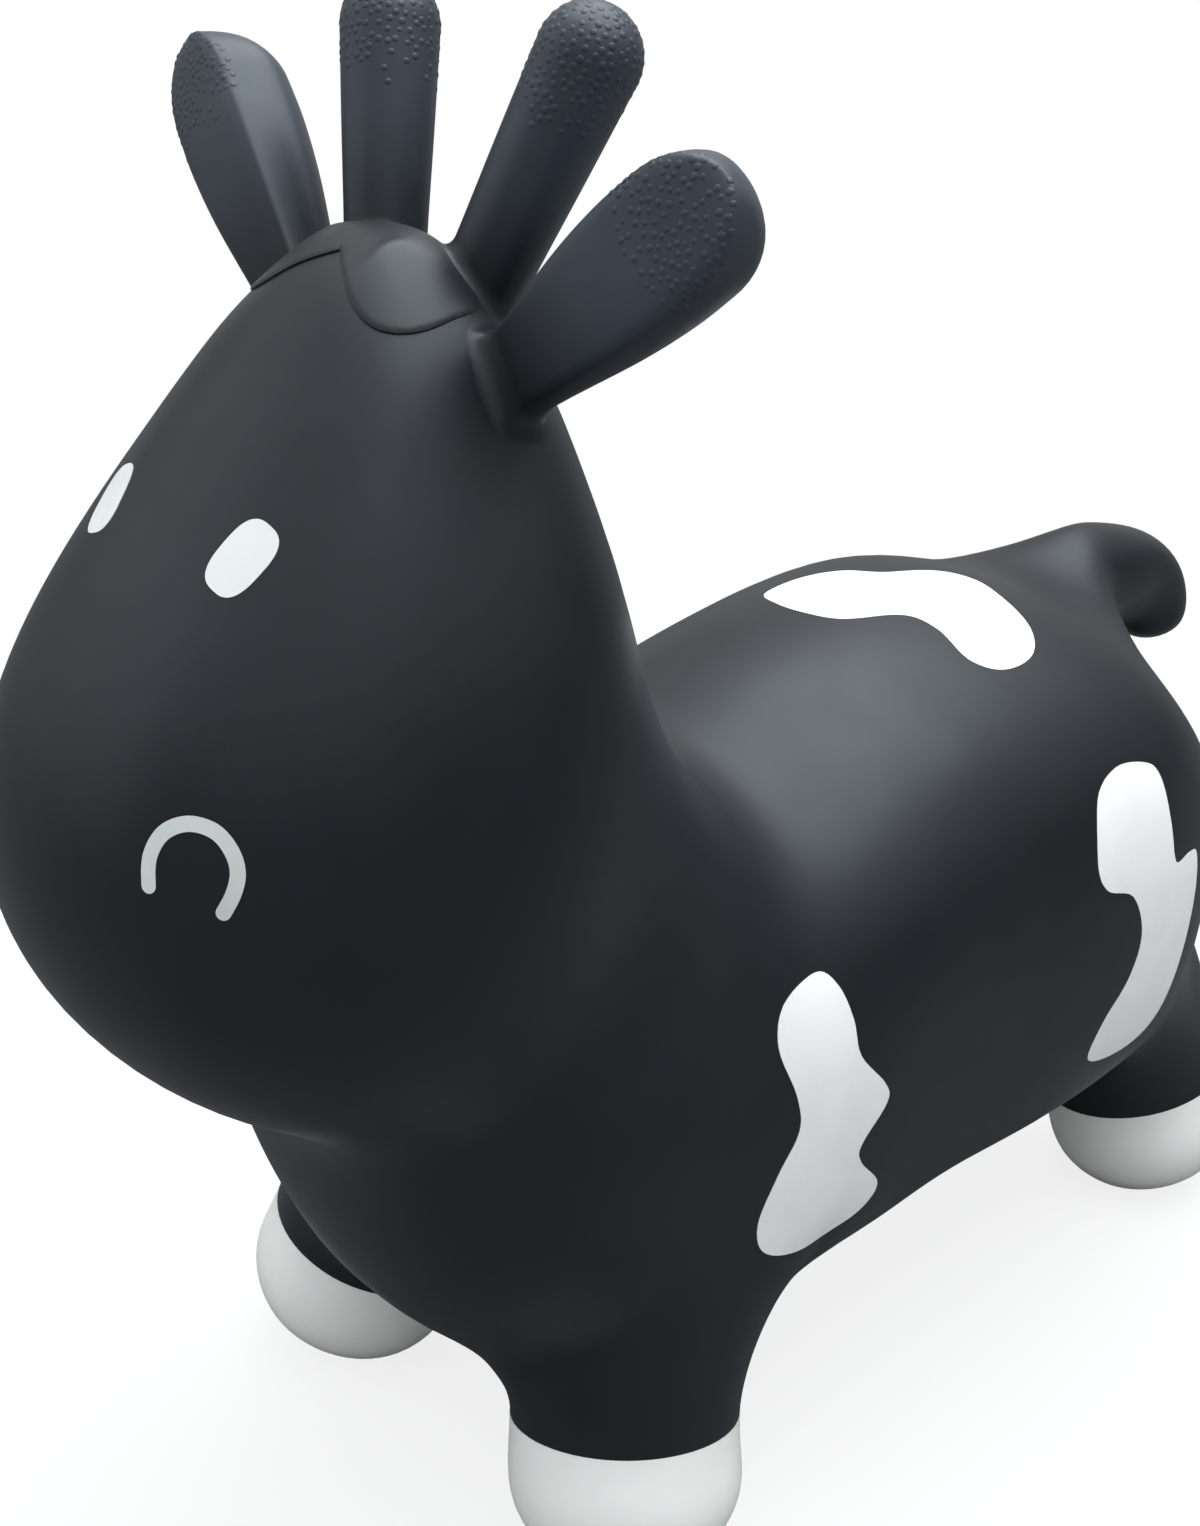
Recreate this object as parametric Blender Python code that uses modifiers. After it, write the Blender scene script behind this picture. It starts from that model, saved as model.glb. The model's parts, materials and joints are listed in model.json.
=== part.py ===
"""A bouncy ride-on cow: an air-filled moulded skin on four short legs.

Metres, +Z up. The animal looks along -Y and its own left side is +X. The origin lies on the floor,
under the middle of the animal. The skin is one smooth form, drawn as a coarse cage and subdivided.
It is hollowed, and then cut into its zones: torso, head, legs, hooves and tail. Horns and ears are
hollow fingers seated on the head, and each painted mark is a thin film let on to the skin. The air
valve sits under the belly.
"""
import math

import bmesh
import bpy
from mathutils import Matrix, Vector

# Overall sizes
BODY_LENGTH = 0.580
CROWN_HEIGHT = 0.468
BODY_WIDTH = 0.236

# Walls and clearances
WALL = 0.0025
GAP = 0.0003
FILM = 0.0006
OVERRUN = 0.020
DEEP_OVERRUN = 0.040
MERGE = 0.0001
OUTLINE_MERGE = 0.00001

# Legs and hooves
HOOF_RADIUS = 0.0425
HOOF_LINE_RISE = 0.015
SOLE_CUT = 0.004
SOLE_THICKNESS = 0.003
LEG_SPLAY_OUT = math.radians(15)
LEG_SPLAY_ALONG = math.radians(11)
LEG_LENGTH = 0.068
SLEEVE_CLEARANCE = 0.0105

# Tail, horns and ears
TAIL_RADIUS = 0.019
TAIL_ROOM_WIDTH = 0.118
HORN_RADIUS = 0.0150
EAR_RADIUS = 0.0192

# Eyes, nostrils and forelock
EYE_WIDTH = 0.0155
EYE_HEIGHT = 0.0240
NOSTRIL_SIZE = 0.0260
NOSTRIL_STROKE = 0.0042
FORELOCK_WIDTH = 0.074
FORELOCK_DEPTH = 0.044
FORELOCK_THICKNESS = 0.0022

# Cow patches: width and length across and along the back, width and height on the flanks
BACK_PATCH_WIDTH = 0.100
BACK_PATCH_LENGTH = 0.080
SHOULDER_PATCH_WIDTH = 0.062
SHOULDER_PATCH_HEIGHT = 0.106
RUMP_PATCH_WIDTH = 0.073
RUMP_PATCH_HEIGHT = 0.125

# Air valve
VALVE_FLANGE_RADIUS = 0.014
VALVE_NECK_RADIUS = 0.0085
VALVE_BORE_RADIUS = 0.0055
VALVE_NECK_HEIGHT = 0.014
VALVE_LIP = 0.001
PLUG_HEAD_RADIUS = 0.0085
PLUG_HEAD_THICKNESS = 0.0025
PLUG_SHAFT_RADIUS = 0.0046
PLUG_RIB_RADIUS = 0.0052
PLUG_RIB_HEIGHT = 0.002
PLUG_TIP_RADIUS = 0.0030
PLUG_SHAFT_LENGTH = 0.013
# Where the plug's two ribs start along its shaft
PLUG_RIB_SHARES = (0.33, 0.67)

# Smoothness
SKIN_LEVEL = 1
FINGER_LEVEL = 1
SETTLE_ROUNDS = 3
OUTLINE_ROUNDS = 1
ROUND_SIDES = 16
TAIL_HALF_SIDES = 4
CORNER_SHARE = 0.25
SHARP_ANGLE = math.radians(50)

# Sections of the skin from the rump to the crown, as shares. Each row holds the place of the top
# point along the body and its height, the same for the bottom point, the half width, and how much
# squarer the lower half is. Places along the body run from 0 at the muzzle to 1 at the rump.
SECTION_SHARES = [
    (0.930, 0.460, 0.946, 0.255, 0.50, 0.2),
    (0.884, 0.553, 0.880, 0.160, 0.79, 0.4),
    (0.820, 0.620, 0.795, 0.145, 0.97, 0.6),
    (0.724, 0.650, 0.700, 0.145, 1.02, 0.6),
    (0.603, 0.641, 0.586, 0.145, 0.98, 0.6),
    (0.514, 0.620, 0.490, 0.143, 0.97, 0.6),
    (0.458, 0.605, 0.412, 0.140, 0.97, 0.5),
    (0.416, 0.610, 0.326, 0.137, 0.955, 0.4),
    (0.384, 0.643, 0.234, 0.173, 0.90, 0.3),
    (0.360, 0.687, 0.183, 0.274, 0.85, 0.2),
    (0.342, 0.735, 0.150, 0.386, 0.815, 0.1),
    (0.328, 0.783, 0.084, 0.450, 0.85, 0.0),
    (0.317, 0.830, 0.022, 0.540, 0.83, 0.0),
    (0.304, 0.874, 0.003, 0.652, 0.725, 0.0),
    (0.288, 0.919, 0.030, 0.760, 0.58, 0.0),
    (0.268, 0.959, 0.080, 0.852, 0.44, 0.0),
    (0.244, 0.990, 0.136, 0.934, 0.30, 0.0),
    (0.222, 1.002, 0.178, 0.982, 0.14, 0.0),
]
SECTION_POINTS = 8
SECTION_SQUARENESS = 2.2
EYE_SQUARENESS = 2.8
REAR_LEG_SECTION = 0
FRONT_LEG_SECTION = 6
LEG_COLUMN = 4
VALVE_SECTION = 4

# Where the left hooves stand: distance from the plane of symmetry as a share of half the body's
# width, and place along the body
FRONT_HOOF_SHARES = (0.644, 0.3103)
REAR_HOOF_SHARES = (0.619, 0.9103)
# Rings down a leg, as shares of the hoof radius: height above the ball's centre, and radius
LEG_RING_SHARES = [(0.42, 0.975), (-0.20, 1.00), (-0.68, 0.80), (-0.97, 0.38)]
# How far a leg's flare has come down from the body to its first ring, and in towards that ring
LEG_FLARE_SHARES = (0.50, 0.66)
LEG_END_SHARE = -1.02
# Where a leg's inner side leaves the belly at its rear, middle and front: distance from the plane of
# symmetry as a share of the hoof radius, and how much the belly rises over that distance
LEG_INNER_SHARES = (0.62, 0.40, 0.70)
LEG_INNER_RISE_SHARE = 0.05

# The tail's rings: place along the body and height, and the radius as a share of the tail's radius
TAIL_ROOT_SHARES = (0.838, 0.581)
TAIL_RING_SHARES = [
    (0.874, 0.595, 1.45), (0.923, 0.601, 1.1), (0.972, 0.586, 1.0), (1.007, 0.555, 1.0),
    (1.018, 0.523, 0.85),
]
TAIL_END_SHARES = (1.018, 0.503)

# Horns and ears, for the left side. Places are shares of the body's length, the crown's height and
# half the body's width. Each form runs from its root inside the head to the centre of its round end.
HORN_ROOT_SHARES = (0.14, 0.240, 0.935)
HORN_TIP_SHARES = (0.360, 0.279, 1.104)
EAR_ROOT_SHARES = (0.30, 0.228, 0.903)
LEFT_EAR_TIP_SHARES = (0.863, 0.252, 1.0325)
# The soft right ear stands a little higher
RIGHT_EAR_TIP_SHARES = (0.863, 0.252, 1.048)
# Rings along a horn and an ear: place from root (0) to tip (1), and radius as a share
HORN_RING_SHARES = [(0.0, 0.80), (0.30, 0.86), (0.65, 0.93), (1.0, 1.0)]
EAR_RING_SHARES = [(0.0, 0.60), (0.30, 0.70), (0.65, 0.90), (1.0, 1.0)]
# The round end past the tip's centre: distance and radius, as shares of the radius
FINGER_END_SHARES = [(0.60, 0.80), (0.92, 0.42)]
FINGER_POLE_SHARE = 1.0
# A horn's cross-section is round, with eight spokes
HORN_SPOKE_SHARES = [1, 1, 1, 1, 1, 1, 1, 1]
# An ear's cross-section: eight spokes, the first one across its flat front
EAR_SPOKE_SHARES = [0.74, 1.03, 1.0, 0.985, 0.96, 0.985, 1.0, 1.03]

# The plane that parts the head from the torso passes the nape and the throat: place along the
# body and height, as shares of its length and the crown's height
NAPE_SHARES = (0.405, 0.592)
THROAT_SHARES = (0.138, 0.373)

# The tail's zone, an outline seen from the side: place along the body and height
TAIL_ZONE_SHARES = [
    (0.895, 0.542), (0.949, 0.530), (0.972, 0.508), (0.976, 0.475), (1.100, 0.475), (1.100, 0.723),
    (0.895, 0.723),
]

# Places of the painted marks as shares of half the width, the length and the crown's height
EYE_PLACE_SHARES = (0.275, 0.0888, 0.843)
NOSTRIL_PLACE_SHARES = (0.453, 0.0409, 0.684)
FORELOCK_PLACE_SHARES = (0, 0.2086, 0.97)
BACK_PATCH_SHARES = (0.075, 0.6637, 0.643)
SHOULDER_PATCH_SHARES = (0.96, 0.400, 0.3823)
RUMP_PATCH_SHARES = (0.96, 0.7207, 0.4124)
FLANK_PATCH_SHARES = (-0.96, 0.510, 0.3885)
HAUNCH_PATCH_SHARES = (-0.96, 0.775, 0.3885)
EYE_FACING_SHARES = (0.366, -0.734, 0.572)
EYE_UPRIGHT_SHARES = (0.25, 0.62, 0.74)
NOSTRIL_FACING_SHARES = (0.590, -0.781, 0.203)

# Outlines of the marks, as shares of their width and length from their middle
BACK_OUTLINE_SHARES = [
    (-0.50, -0.36), (-0.49, -0.12), (-0.38, 0.05), (-0.22, 0.14), (-0.10, 0.40), (0.03, 0.49),
    (0.20, 0.43), (0.38, 0.32), (0.48, 0.15), (0.48, -0.08), (0.38, -0.19), (0.22, -0.15),
    (0.10, -0.20), (-0.04, -0.44), (-0.20, -0.50), (-0.36, -0.47),
]
SHOULDER_OUTLINE_SHARES = [
    (0.00, 0.50), (-0.30, 0.46), (-0.39, 0.34), (-0.28, 0.15), (-0.26, 0.02), (-0.40, -0.12),
    (-0.51, -0.29), (-0.41, -0.43), (-0.05, -0.51), (0.38, -0.48), (0.50, -0.39), (0.29, -0.24),
    (0.27, -0.16), (0.46, -0.04), (0.43, 0.04), (0.22, 0.19), (0.19, 0.32), (0.13, 0.44),
]
RUMP_OUTLINE_SHARES = [
    (0.05, 0.49), (-0.20, 0.51), (-0.42, 0.45), (-0.51, 0.28), (-0.44, 0.18), (-0.21, 0.12),
    (-0.09, -0.03), (-0.14, -0.18), (-0.30, -0.32), (-0.32, -0.46), (0.00, -0.51), (0.30, -0.47),
    (0.46, -0.32), (0.51, -0.05), (0.48, 0.13), (0.38, 0.16), (0.21, 0.16), (0.17, 0.30), (0.15, 0.44),
]
# The nostril's stroke, as shares of its size, from its foot beside the muzzle's middle
NOSTRIL_PATH_SHARES = [
    (-0.58, -0.33), (-0.58, 0.06), (-0.44, 0.36), (-0.17, 0.51), (0.13, 0.46), (0.33, 0.27),
    (0.41, 0.02), (0.35, -0.26), (0.23, -0.50),
]
# Half of the forelock's outline, as shares of its width and depth, from its parting round to the back
FORELOCK_HALF_SHARES = [
    (0.00, -0.24), (0.11, -0.37), (0.25, -0.48), (0.38, -0.47), (0.47, -0.32), (0.50, -0.07),
    (0.46, 0.25), (0.27, 0.43), (0.00, 0.50),
]

# Colours
SKIN_BLACK = (0.022, 0.024, 0.030, 1)
HOOF_WHITE = (0.76, 0.75, 0.70, 1)
PAINT_WHITE = (0.82, 0.82, 0.82, 1)
PLUG_WHITE = (0.80, 0.80, 0.78, 1)
MATT_ROUGHNESS = 0.55
SATIN_ROUGHNESS = 0.42


def body_point(side, along_share, height_share):
    """A place on the animal from its shares of the body's length and the crown's height."""
    return Vector((side, (along_share - 0.5) * BODY_LENGTH, height_share * CROWN_HEIGHT))


def signed_power(value, power):
    """The power of a value's size, with the value's sign."""
    return math.copysign(abs(value) ** power, value)


def section_ring(row):
    """One half section of the skin, from its top point down the +X side to its bottom point."""
    top = body_point(0, row[0], row[1])
    bottom = body_point(0, row[2], row[3])
    half_width = row[4] * BODY_WIDTH / 2
    points = []
    for step in range(SECTION_POINTS):
        angle = math.pi * step / (SECTION_POINTS - 1)
        lower = angle > math.pi / 2
        power = 2 / (SECTION_SQUARENESS + (row[5] if lower else 0))
        out = signed_power(math.sin(angle), power)
        down = (1 - signed_power(math.cos(angle), power)) / 2
        if step in (0, SECTION_POINTS - 1):
            out = 0
        points.append(top.lerp(bottom, down) + Vector((half_width * out, 0, 0)))
    return points


def leg_axis(front):
    """The unit direction of a left leg from its hoof up to the body."""
    along = math.tan(LEG_SPLAY_ALONG) * (1 if front else -1)
    return Vector((-math.tan(LEG_SPLAY_OUT), along, 1)).normalized()


def hoof_centre(front):
    """The centre of a left hoof's ball."""
    side_share, along_share = FRONT_HOOF_SHARES if front else REAR_HOOF_SHARES
    place = body_point(side_share * BODY_WIDTH / 2, along_share, 0)
    return place + Vector((0, 0, HOOF_RADIUS - SOLE_CUT))


def close_ring(cage, ring, middle):
    """Closes a ring of points with a fan of four-sided faces round a middle point."""
    count = len(ring)
    for step in range(0, count, 2):
        cage.faces.new((ring[step], ring[(step + 1) % count], ring[(step + 2) % count], middle))


def join_rings(cage, upper, lower):
    """Joins two closed rings of points with a band of faces."""
    for step in range(len(upper)):
        other = (step + 1) % len(upper)
        cage.faces.new((upper[step], upper[other], lower[other], lower[step]))


def add_leg(cage, rings, first, front):
    """Draws a left leg out of the underside of the sections that start at first."""
    axis = leg_axis(front)
    centre = hoof_centre(front)
    outward = (Vector((1, 0, 0)) - axis * axis.x).normalized()
    rearward = axis.cross(outward)
    outer, middle, inner = LEG_COLUMN, LEG_COLUMN + 1, LEG_COLUMN + 2
    rear, mid, fore = first, first + 1, first + 2
    for station, share in zip((rear, mid, fore), LEG_INNER_SHARES):
        side = share * HOOF_RADIUS
        rings[station][inner].co = rings[station][-1].co + Vector((side, 0, side * LEG_INNER_RISE_SHARE))
    loop = [(mid, outer), (rear, outer), (rear, middle), (rear, inner),
            (mid, inner), (fore, inner), (fore, middle), (fore, outer)]
    upper = [rings[station][column] for station, column in loop]
    bmesh.ops.delete(cage, geom=[rings[mid][middle]], context="VERTS")
    for number, (height_share, radius_share) in enumerate(LEG_RING_SHARES):
        lower = []
        for step in range(len(loop)):
            angle = 2 * math.pi * step / len(loop)
            spoke = outward * math.cos(angle) + rearward * math.sin(angle)
            spot = centre + axis * height_share * HOOF_RADIUS + spoke * radius_share * HOOF_RADIUS
            lower.append(cage.verts.new(spot))
        if number == 0:
            down, inward = LEG_FLARE_SHARES
            flare = []
            for above, below in zip(upper, lower):
                way = below.co - above.co
                drop = axis * way.dot(axis)
                flare.append(cage.verts.new(above.co + drop * down + (way - drop) * inward))
            join_rings(cage, upper, flare)
            upper = flare
        join_rings(cage, upper, lower)
        upper = lower
    close_ring(cage, upper, cage.verts.new(centre + axis * LEG_END_SHARE * HOOF_RADIUS))


def add_tail(cage, rings):
    """Draws the curled tail out of the top of the rump."""
    upper = [rings[2][0], rings[2][1], rings[1][1], rings[0][1], rings[0][0]]
    bmesh.ops.delete(cage, geom=[rings[1][0]], context="VERTS")
    root = body_point(0, *TAIL_ROOT_SHARES)
    places = [body_point(0, along, height) for along, height, _ in TAIL_RING_SHARES]
    end = body_point(0, *TAIL_END_SHARES)
    for index, place in enumerate(places):
        before = places[index - 1] if index else root
        after = places[index + 1] if index + 1 < len(places) else end
        along = (after - before).normalized()
        crest = Vector((1, 0, 0)).cross(along)
        radius = TAIL_RING_SHARES[index][2] * TAIL_RADIUS
        lower = []
        for step in range(TAIL_HALF_SIDES + 1):
            angle = math.pi * step / TAIL_HALF_SIDES
            out = math.sin(angle) if 0 < step < TAIL_HALF_SIDES else 0
            spot = place + Vector((radius * out, 0, 0)) + crest * radius * math.cos(angle)
            lower.append(cage.verts.new(spot))
        for step in range(TAIL_HALF_SIDES):
            cage.faces.new((upper[step], upper[step + 1], lower[step + 1], lower[step]))
        upper = lower
    tip = cage.verts.new(end)
    cage.faces.new((upper[0], upper[1], upper[2], tip))
    cage.faces.new((upper[2], upper[3], upper[4], tip))


def half_cage():
    """The left half of the skin's cage, open at the plane of symmetry."""
    cage = bmesh.new()
    rings = [[cage.verts.new(point) for point in section_ring(row)] for row in SECTION_SHARES]
    for rear, fore in zip(rings, rings[1:]):
        for column in range(SECTION_POINTS - 1):
            cage.faces.new((rear[column], rear[column + 1], fore[column + 1], fore[column]))
    for ring in (rings[0], rings[-1]):
        last = SECTION_POINTS - 1
        for column in range(SECTION_POINTS // 2 - 1):
            cage.faces.new((ring[column], ring[column + 1], ring[last - column - 1], ring[last - column]))
    add_leg(cage, rings, REAR_LEG_SECTION, front=False)
    add_leg(cage, rings, FRONT_LEG_SECTION, front=True)
    add_tail(cage, rings)
    return cage


def clear_scene():
    """Removes what the opened file holds."""
    for thing in list(bpy.data.objects):
        bpy.data.objects.remove(thing, do_unlink=True)


def new_object(name, mesh, collection):
    """Puts a mesh into the scene under a name."""
    thing = bpy.data.objects.new(name, mesh)
    collection.objects.link(thing)
    return thing


def mesh_from(builder, name):
    """A mesh from a bmesh, with its faces pointing out."""
    bmesh.ops.recalc_face_normals(builder, faces=builder.faces)
    mesh = bpy.data.meshes.new(name)
    builder.to_mesh(mesh)
    builder.free()
    return mesh


def evaluated_mesh(thing):
    """A plain mesh of an object with its modifiers worked out."""
    graph = bpy.context.evaluated_depsgraph_get()
    return bpy.data.meshes.new_from_object(thing.evaluated_get(graph), depsgraph=graph)


def smooth_place(vertex):
    """Where a cage point ends up on the subdivided surface."""
    count = len(vertex.link_edges)
    edge_sum = sum((edge.other_vert(vertex).co for edge in vertex.link_edges), Vector())
    face_sum = Vector()
    for loop in vertex.link_loops:
        face_sum += loop.link_loop_next.link_loop_next.vert.co
    return (vertex.co * count * count + edge_sum * 4 + face_sum) / (count * (count + 5))


def settle(mesh):
    """Moves the cage outwards until the smooth surface passes where the cage was drawn."""
    cage = bmesh.new()
    cage.from_mesh(mesh)
    goals = [vertex.co.copy() for vertex in cage.verts]
    for _ in range(SETTLE_ROUNDS):
        steps = [goal - smooth_place(vertex) for vertex, goal in zip(cage.verts, goals)]
        for vertex, step in zip(cage.verts, steps):
            vertex.co += step
    cage.to_mesh(mesh)
    cage.free()


def whole_cage(collection):
    """The settled cage of the whole skin."""
    half = new_object("skin_half", mesh_from(half_cage(), "skin_half"), collection)
    mirror = half.modifiers.new("Mirror", "MIRROR")
    mirror.merge_threshold = MERGE
    mirror.use_clip = True
    mesh = evaluated_mesh(half)
    bpy.data.objects.remove(half, do_unlink=True)
    settle(mesh)
    return mesh


def finger_place(shares):
    """A place on the head from shares of half the width, the length and the height."""
    return body_point(shares[0] * BODY_WIDTH / 2, shares[1], shares[2])


def finger_cage(root, tip, radius, ring_shares, spoke_shares, facing):
    """The closed cage of a horn or an ear from its root to its round end."""
    cage = bmesh.new()
    axis = (tip - root).normalized()
    ridge = (facing - axis * axis.dot(facing)).normalized()
    across = axis.cross(ridge)
    stations = [(root.lerp(tip, place), share) for place, share in ring_shares]
    stations += [(tip + axis * reach * radius, share) for reach, share in FINGER_END_SHARES]
    rings = []
    for centre, share in stations:
        ring = []
        for step, spoke in enumerate(spoke_shares):
            angle = 2 * math.pi * step / len(spoke_shares)
            way = ridge * math.cos(angle) + across * math.sin(angle)
            ring.append(cage.verts.new(centre + way * spoke * share * radius))
        rings.append(ring)
    for lower, upper in zip(rings, rings[1:]):
        join_rings(cage, lower, upper)
    close_ring(cage, rings[0], cage.verts.new(root))
    close_ring(cage, rings[-1], cage.verts.new(tip + axis * FINGER_POLE_SHARE * radius))
    mesh = mesh_from(cage, "finger")
    settle(mesh)
    return mesh


def horn_cage():
    """The cage of the left horn."""
    root, tip = finger_place(HORN_ROOT_SHARES), finger_place(HORN_TIP_SHARES)
    return finger_cage(root, tip, HORN_RADIUS, HORN_RING_SHARES, HORN_SPOKE_SHARES, Vector((0, -1, 0)))


def ear_cage(tip_shares):
    """The cage of an ear on the left side that ends at a tip."""
    root, tip = finger_place(EAR_ROOT_SHARES), finger_place(tip_shares)
    return finger_cage(root, tip, EAR_RADIUS, EAR_RING_SHARES, EAR_SPOKE_SHARES, Vector((0, -1, 0)))


def worked(mesh, steps):
    """A new mesh made from a mesh by modifiers, each given by its kind and its settings."""
    thing = new_object("work", mesh, bpy.context.scene.collection)
    for kind, settings in steps:
        modifier = thing.modifiers.new(kind.title(), kind)
        for key, value in settings.items():
            setattr(modifier, key, value)
    result = evaluated_mesh(thing)
    bpy.data.objects.remove(thing, do_unlink=True)
    return result


def smoothed(mesh, level, proud=0):
    """A cage subdivided, and moved out of its surface by a distance, or inwards where it is negative.

    Every copy gets the same triangles, so that layers of one form lie evenly on each other."""
    steps = [("SUBSURF", {"levels": level, "render_levels": level}),
             ("TRIANGULATE", {"quad_method": "FIXED"})]
    if proud:
        steps.append(("DISPLACE", {"mid_level": 0, "strength": proud}))
    return worked(mesh, steps)


def cut(mesh, cutter, operation):
    """A mesh cut by, kept inside or joined with another one."""
    tool = new_object("tool", cutter, bpy.context.scene.collection)
    result = worked(mesh, [("BOOLEAN", {"operation": operation, "object": tool, "solver": "EXACT"})])
    bpy.data.objects.remove(tool, do_unlink=True)
    return result


def mirrored(mesh):
    """The same form on the animal's other side."""
    other = mesh.copy()
    other.transform(Matrix.Scale(-1, 4, (1, 0, 0)))
    other.flip_normals()
    return other


def block(low, high):
    """A box between two corners."""
    low, high = Vector(low), Vector(high)
    cube = bmesh.new()
    bmesh.ops.create_cube(cube, size=1)
    size = high - low
    for vertex in cube.verts:
        vertex.co = low + Vector([(vertex.co[axis] + 0.5) * size[axis] for axis in range(3)])
    return mesh_from(cube, "block")


def turned_frame(origin, axis, towards):
    """A place whose Z runs along axis and whose X points towards a direction."""
    axis = axis.normalized()
    across = (towards - axis * axis.dot(towards)).normalized()
    turn = Matrix((across, axis.cross(across), axis)).transposed().to_4x4()
    return Matrix.Translation(origin) @ turn


def round_bar(start, axis, length, radius, sides):
    """A cylinder from a start point along an axis."""
    bar = bmesh.new()
    place = turned_frame(start + axis * length / 2, axis, axis.orthogonal())
    bmesh.ops.create_cone(bar, cap_ends=True, segments=sides, radius1=radius, radius2=radius, depth=length,
                          matrix=place)
    return mesh_from(bar, "bar")


def leg_sleeve(front, bottom, top, radius):
    """A bar round a left leg's axis, between two heights above the hoof's centre."""
    axis = leg_axis(front)
    return round_bar(hoof_centre(front) + axis * bottom, axis, top - bottom, radius, ROUND_SIDES)


def neck_block(clearance):
    """All space in front of and above the plane that parts the head from the torso."""
    nape, throat = body_point(0, *NAPE_SHARES), body_point(0, *THROAT_SHARES)
    normal = (throat - nape).cross(Vector((1, 0, 0))).normalized()
    size = BODY_LENGTH + CROWN_HEIGHT
    half = size / 2
    cube = block((-half, -half, -clearance), (half, half, size))
    cube.transform(turned_frame(nape, normal, Vector((1, 0, 0))))
    return cube


def outline_prism(points, frame, bottom, top):
    """A flat outline raised to a prism, from a curve drawn in a frame's X and Y."""
    curve = bpy.data.curves.new("outline", "CURVE")
    curve.dimensions = "2D"
    curve.fill_mode = "BOTH"
    curve.extrude = (top - bottom) / 2
    spline = curve.splines.new("POLY")
    spline.points.add(len(points) - 1)
    for spot, (across, along) in zip(spline.points, points):
        spot.co = (across, along, 0, 1)
    spline.use_cyclic_u = True
    thing = bpy.data.objects.new("outline", curve)
    bpy.context.scene.collection.objects.link(thing)
    mesh = evaluated_mesh(thing)
    bpy.data.objects.remove(thing, do_unlink=True)
    solid = bmesh.new()
    solid.from_mesh(mesh)
    bmesh.ops.remove_doubles(solid, verts=solid.verts, dist=OUTLINE_MERGE)
    result = mesh_from(solid, "prism")
    result.transform(frame @ Matrix.Translation((0, 0, (top + bottom) / 2)))
    return result


def wavy(points):
    """A closed outline with its corners cut until it is smooth."""
    for _ in range(OUTLINE_ROUNDS):
        finer = []
        for index, point in enumerate(points):
            after = points[(index + 1) % len(points)]
            for share in (CORNER_SHARE, 1 - CORNER_SHARE):
                finer.append(tuple(a + (b - a) * share for a, b in zip(point, after)))
        points = finer
    return points


def tail_block(clearance):
    """The space round the tail, grown by a clearance on the rump's side."""
    corners = [body_point(0, along, height) for along, height in TAIL_ZONE_SHARES]
    points = [(corner.y - clearance, corner.z - clearance) for corner in corners]
    side_on = Matrix(((0, 0, 1), (1, 0, 0), (0, 1, 0))).to_4x4()
    return outline_prism(points, side_on, -TAIL_ROOM_WIDTH / 2, TAIL_ROOM_WIDTH / 2)


def turned(profile):
    """A closed profile of radius and height turned round the Z axis."""
    ring = bmesh.new()
    points = [ring.verts.new((radius, 0, height)) for radius, height in profile]
    for index, point in enumerate(points):
        after = (index + 1) % len(points)
        if profile[index][0] or profile[after][0]:
            ring.edges.new((point, points[after]))
    mesh = bpy.data.meshes.new("profile")
    ring.to_mesh(mesh)
    ring.free()
    steps = {"steps": ROUND_SIDES, "render_steps": ROUND_SIDES, "use_merge_vertices": True,
             "merge_threshold": MERGE}
    result = worked(mesh, [("SCREW", steps)])
    solid = bmesh.new()
    solid.from_mesh(result)
    return mesh_from(solid, "turned")


def hollow_skin(cage):
    """The whole skin as one wall, with the soles cut flat."""
    space = BODY_LENGTH
    above_floor = block((-space, -space, 0), (space, space, space))
    above_sole = block((-space, -space, SOLE_THICKNESS), (space, space, space))
    outside = cut(smoothed(cage, SKIN_LEVEL), above_floor, "INTERSECT")
    inside = cut(smoothed(cage, SKIN_LEVEL, -WALL), above_sole, "INTERSECT")
    return cut(outside, inside, "DIFFERENCE")


def valve_place():
    """The middle of the belly's underside, where the valve sits."""
    row = SECTION_SHARES[VALVE_SECTION]
    return body_point(0, row[2], row[3])


def skin_zones(cage):
    """The hollow skin cut into its zones, with a gap between neighbours."""
    shell = hollow_skin(cage)
    reach = HOOF_RADIUS + OVERRUN
    sleeve_radius = HOOF_RADIUS + SLEEVE_CLEARANCE
    zones = {}
    torso = shell
    for front in (True, False):
        end = "front" if front else "rear"
        hoof = cut(shell, leg_sleeve(front, -reach, HOOF_LINE_RISE, sleeve_radius), "INTERSECT")
        leg = cut(shell, leg_sleeve(front, HOOF_LINE_RISE + GAP, LEG_LENGTH, sleeve_radius), "INTERSECT")
        for side, form in (("left", lambda mesh: mesh), ("right", mirrored)):
            zones["hoof_" + end + "_" + side] = form(hoof)
            zones["leg_" + end + "_" + side] = form(leg)
            room = leg_sleeve(front, -reach, LEG_LENGTH + GAP, sleeve_radius + GAP)
            torso = cut(torso, form(room), "DIFFERENCE")
    zones["head"] = cut(shell, neck_block(0), "INTERSECT")
    torso = cut(torso, neck_block(GAP), "DIFFERENCE")
    zones["tail"] = cut(shell, tail_block(0), "INTERSECT")
    torso = cut(torso, tail_block(GAP), "DIFFERENCE")
    up = Vector((0, 0, 1))
    hole_radius = VALVE_FLANGE_RADIUS + GAP
    valve_hole = round_bar(valve_place() - up * OVERRUN, up, DEEP_OVERRUN, hole_radius, ROUND_SIDES)
    zones["torso"] = cut(torso, valve_hole, "DIFFERENCE")
    return zones


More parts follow.
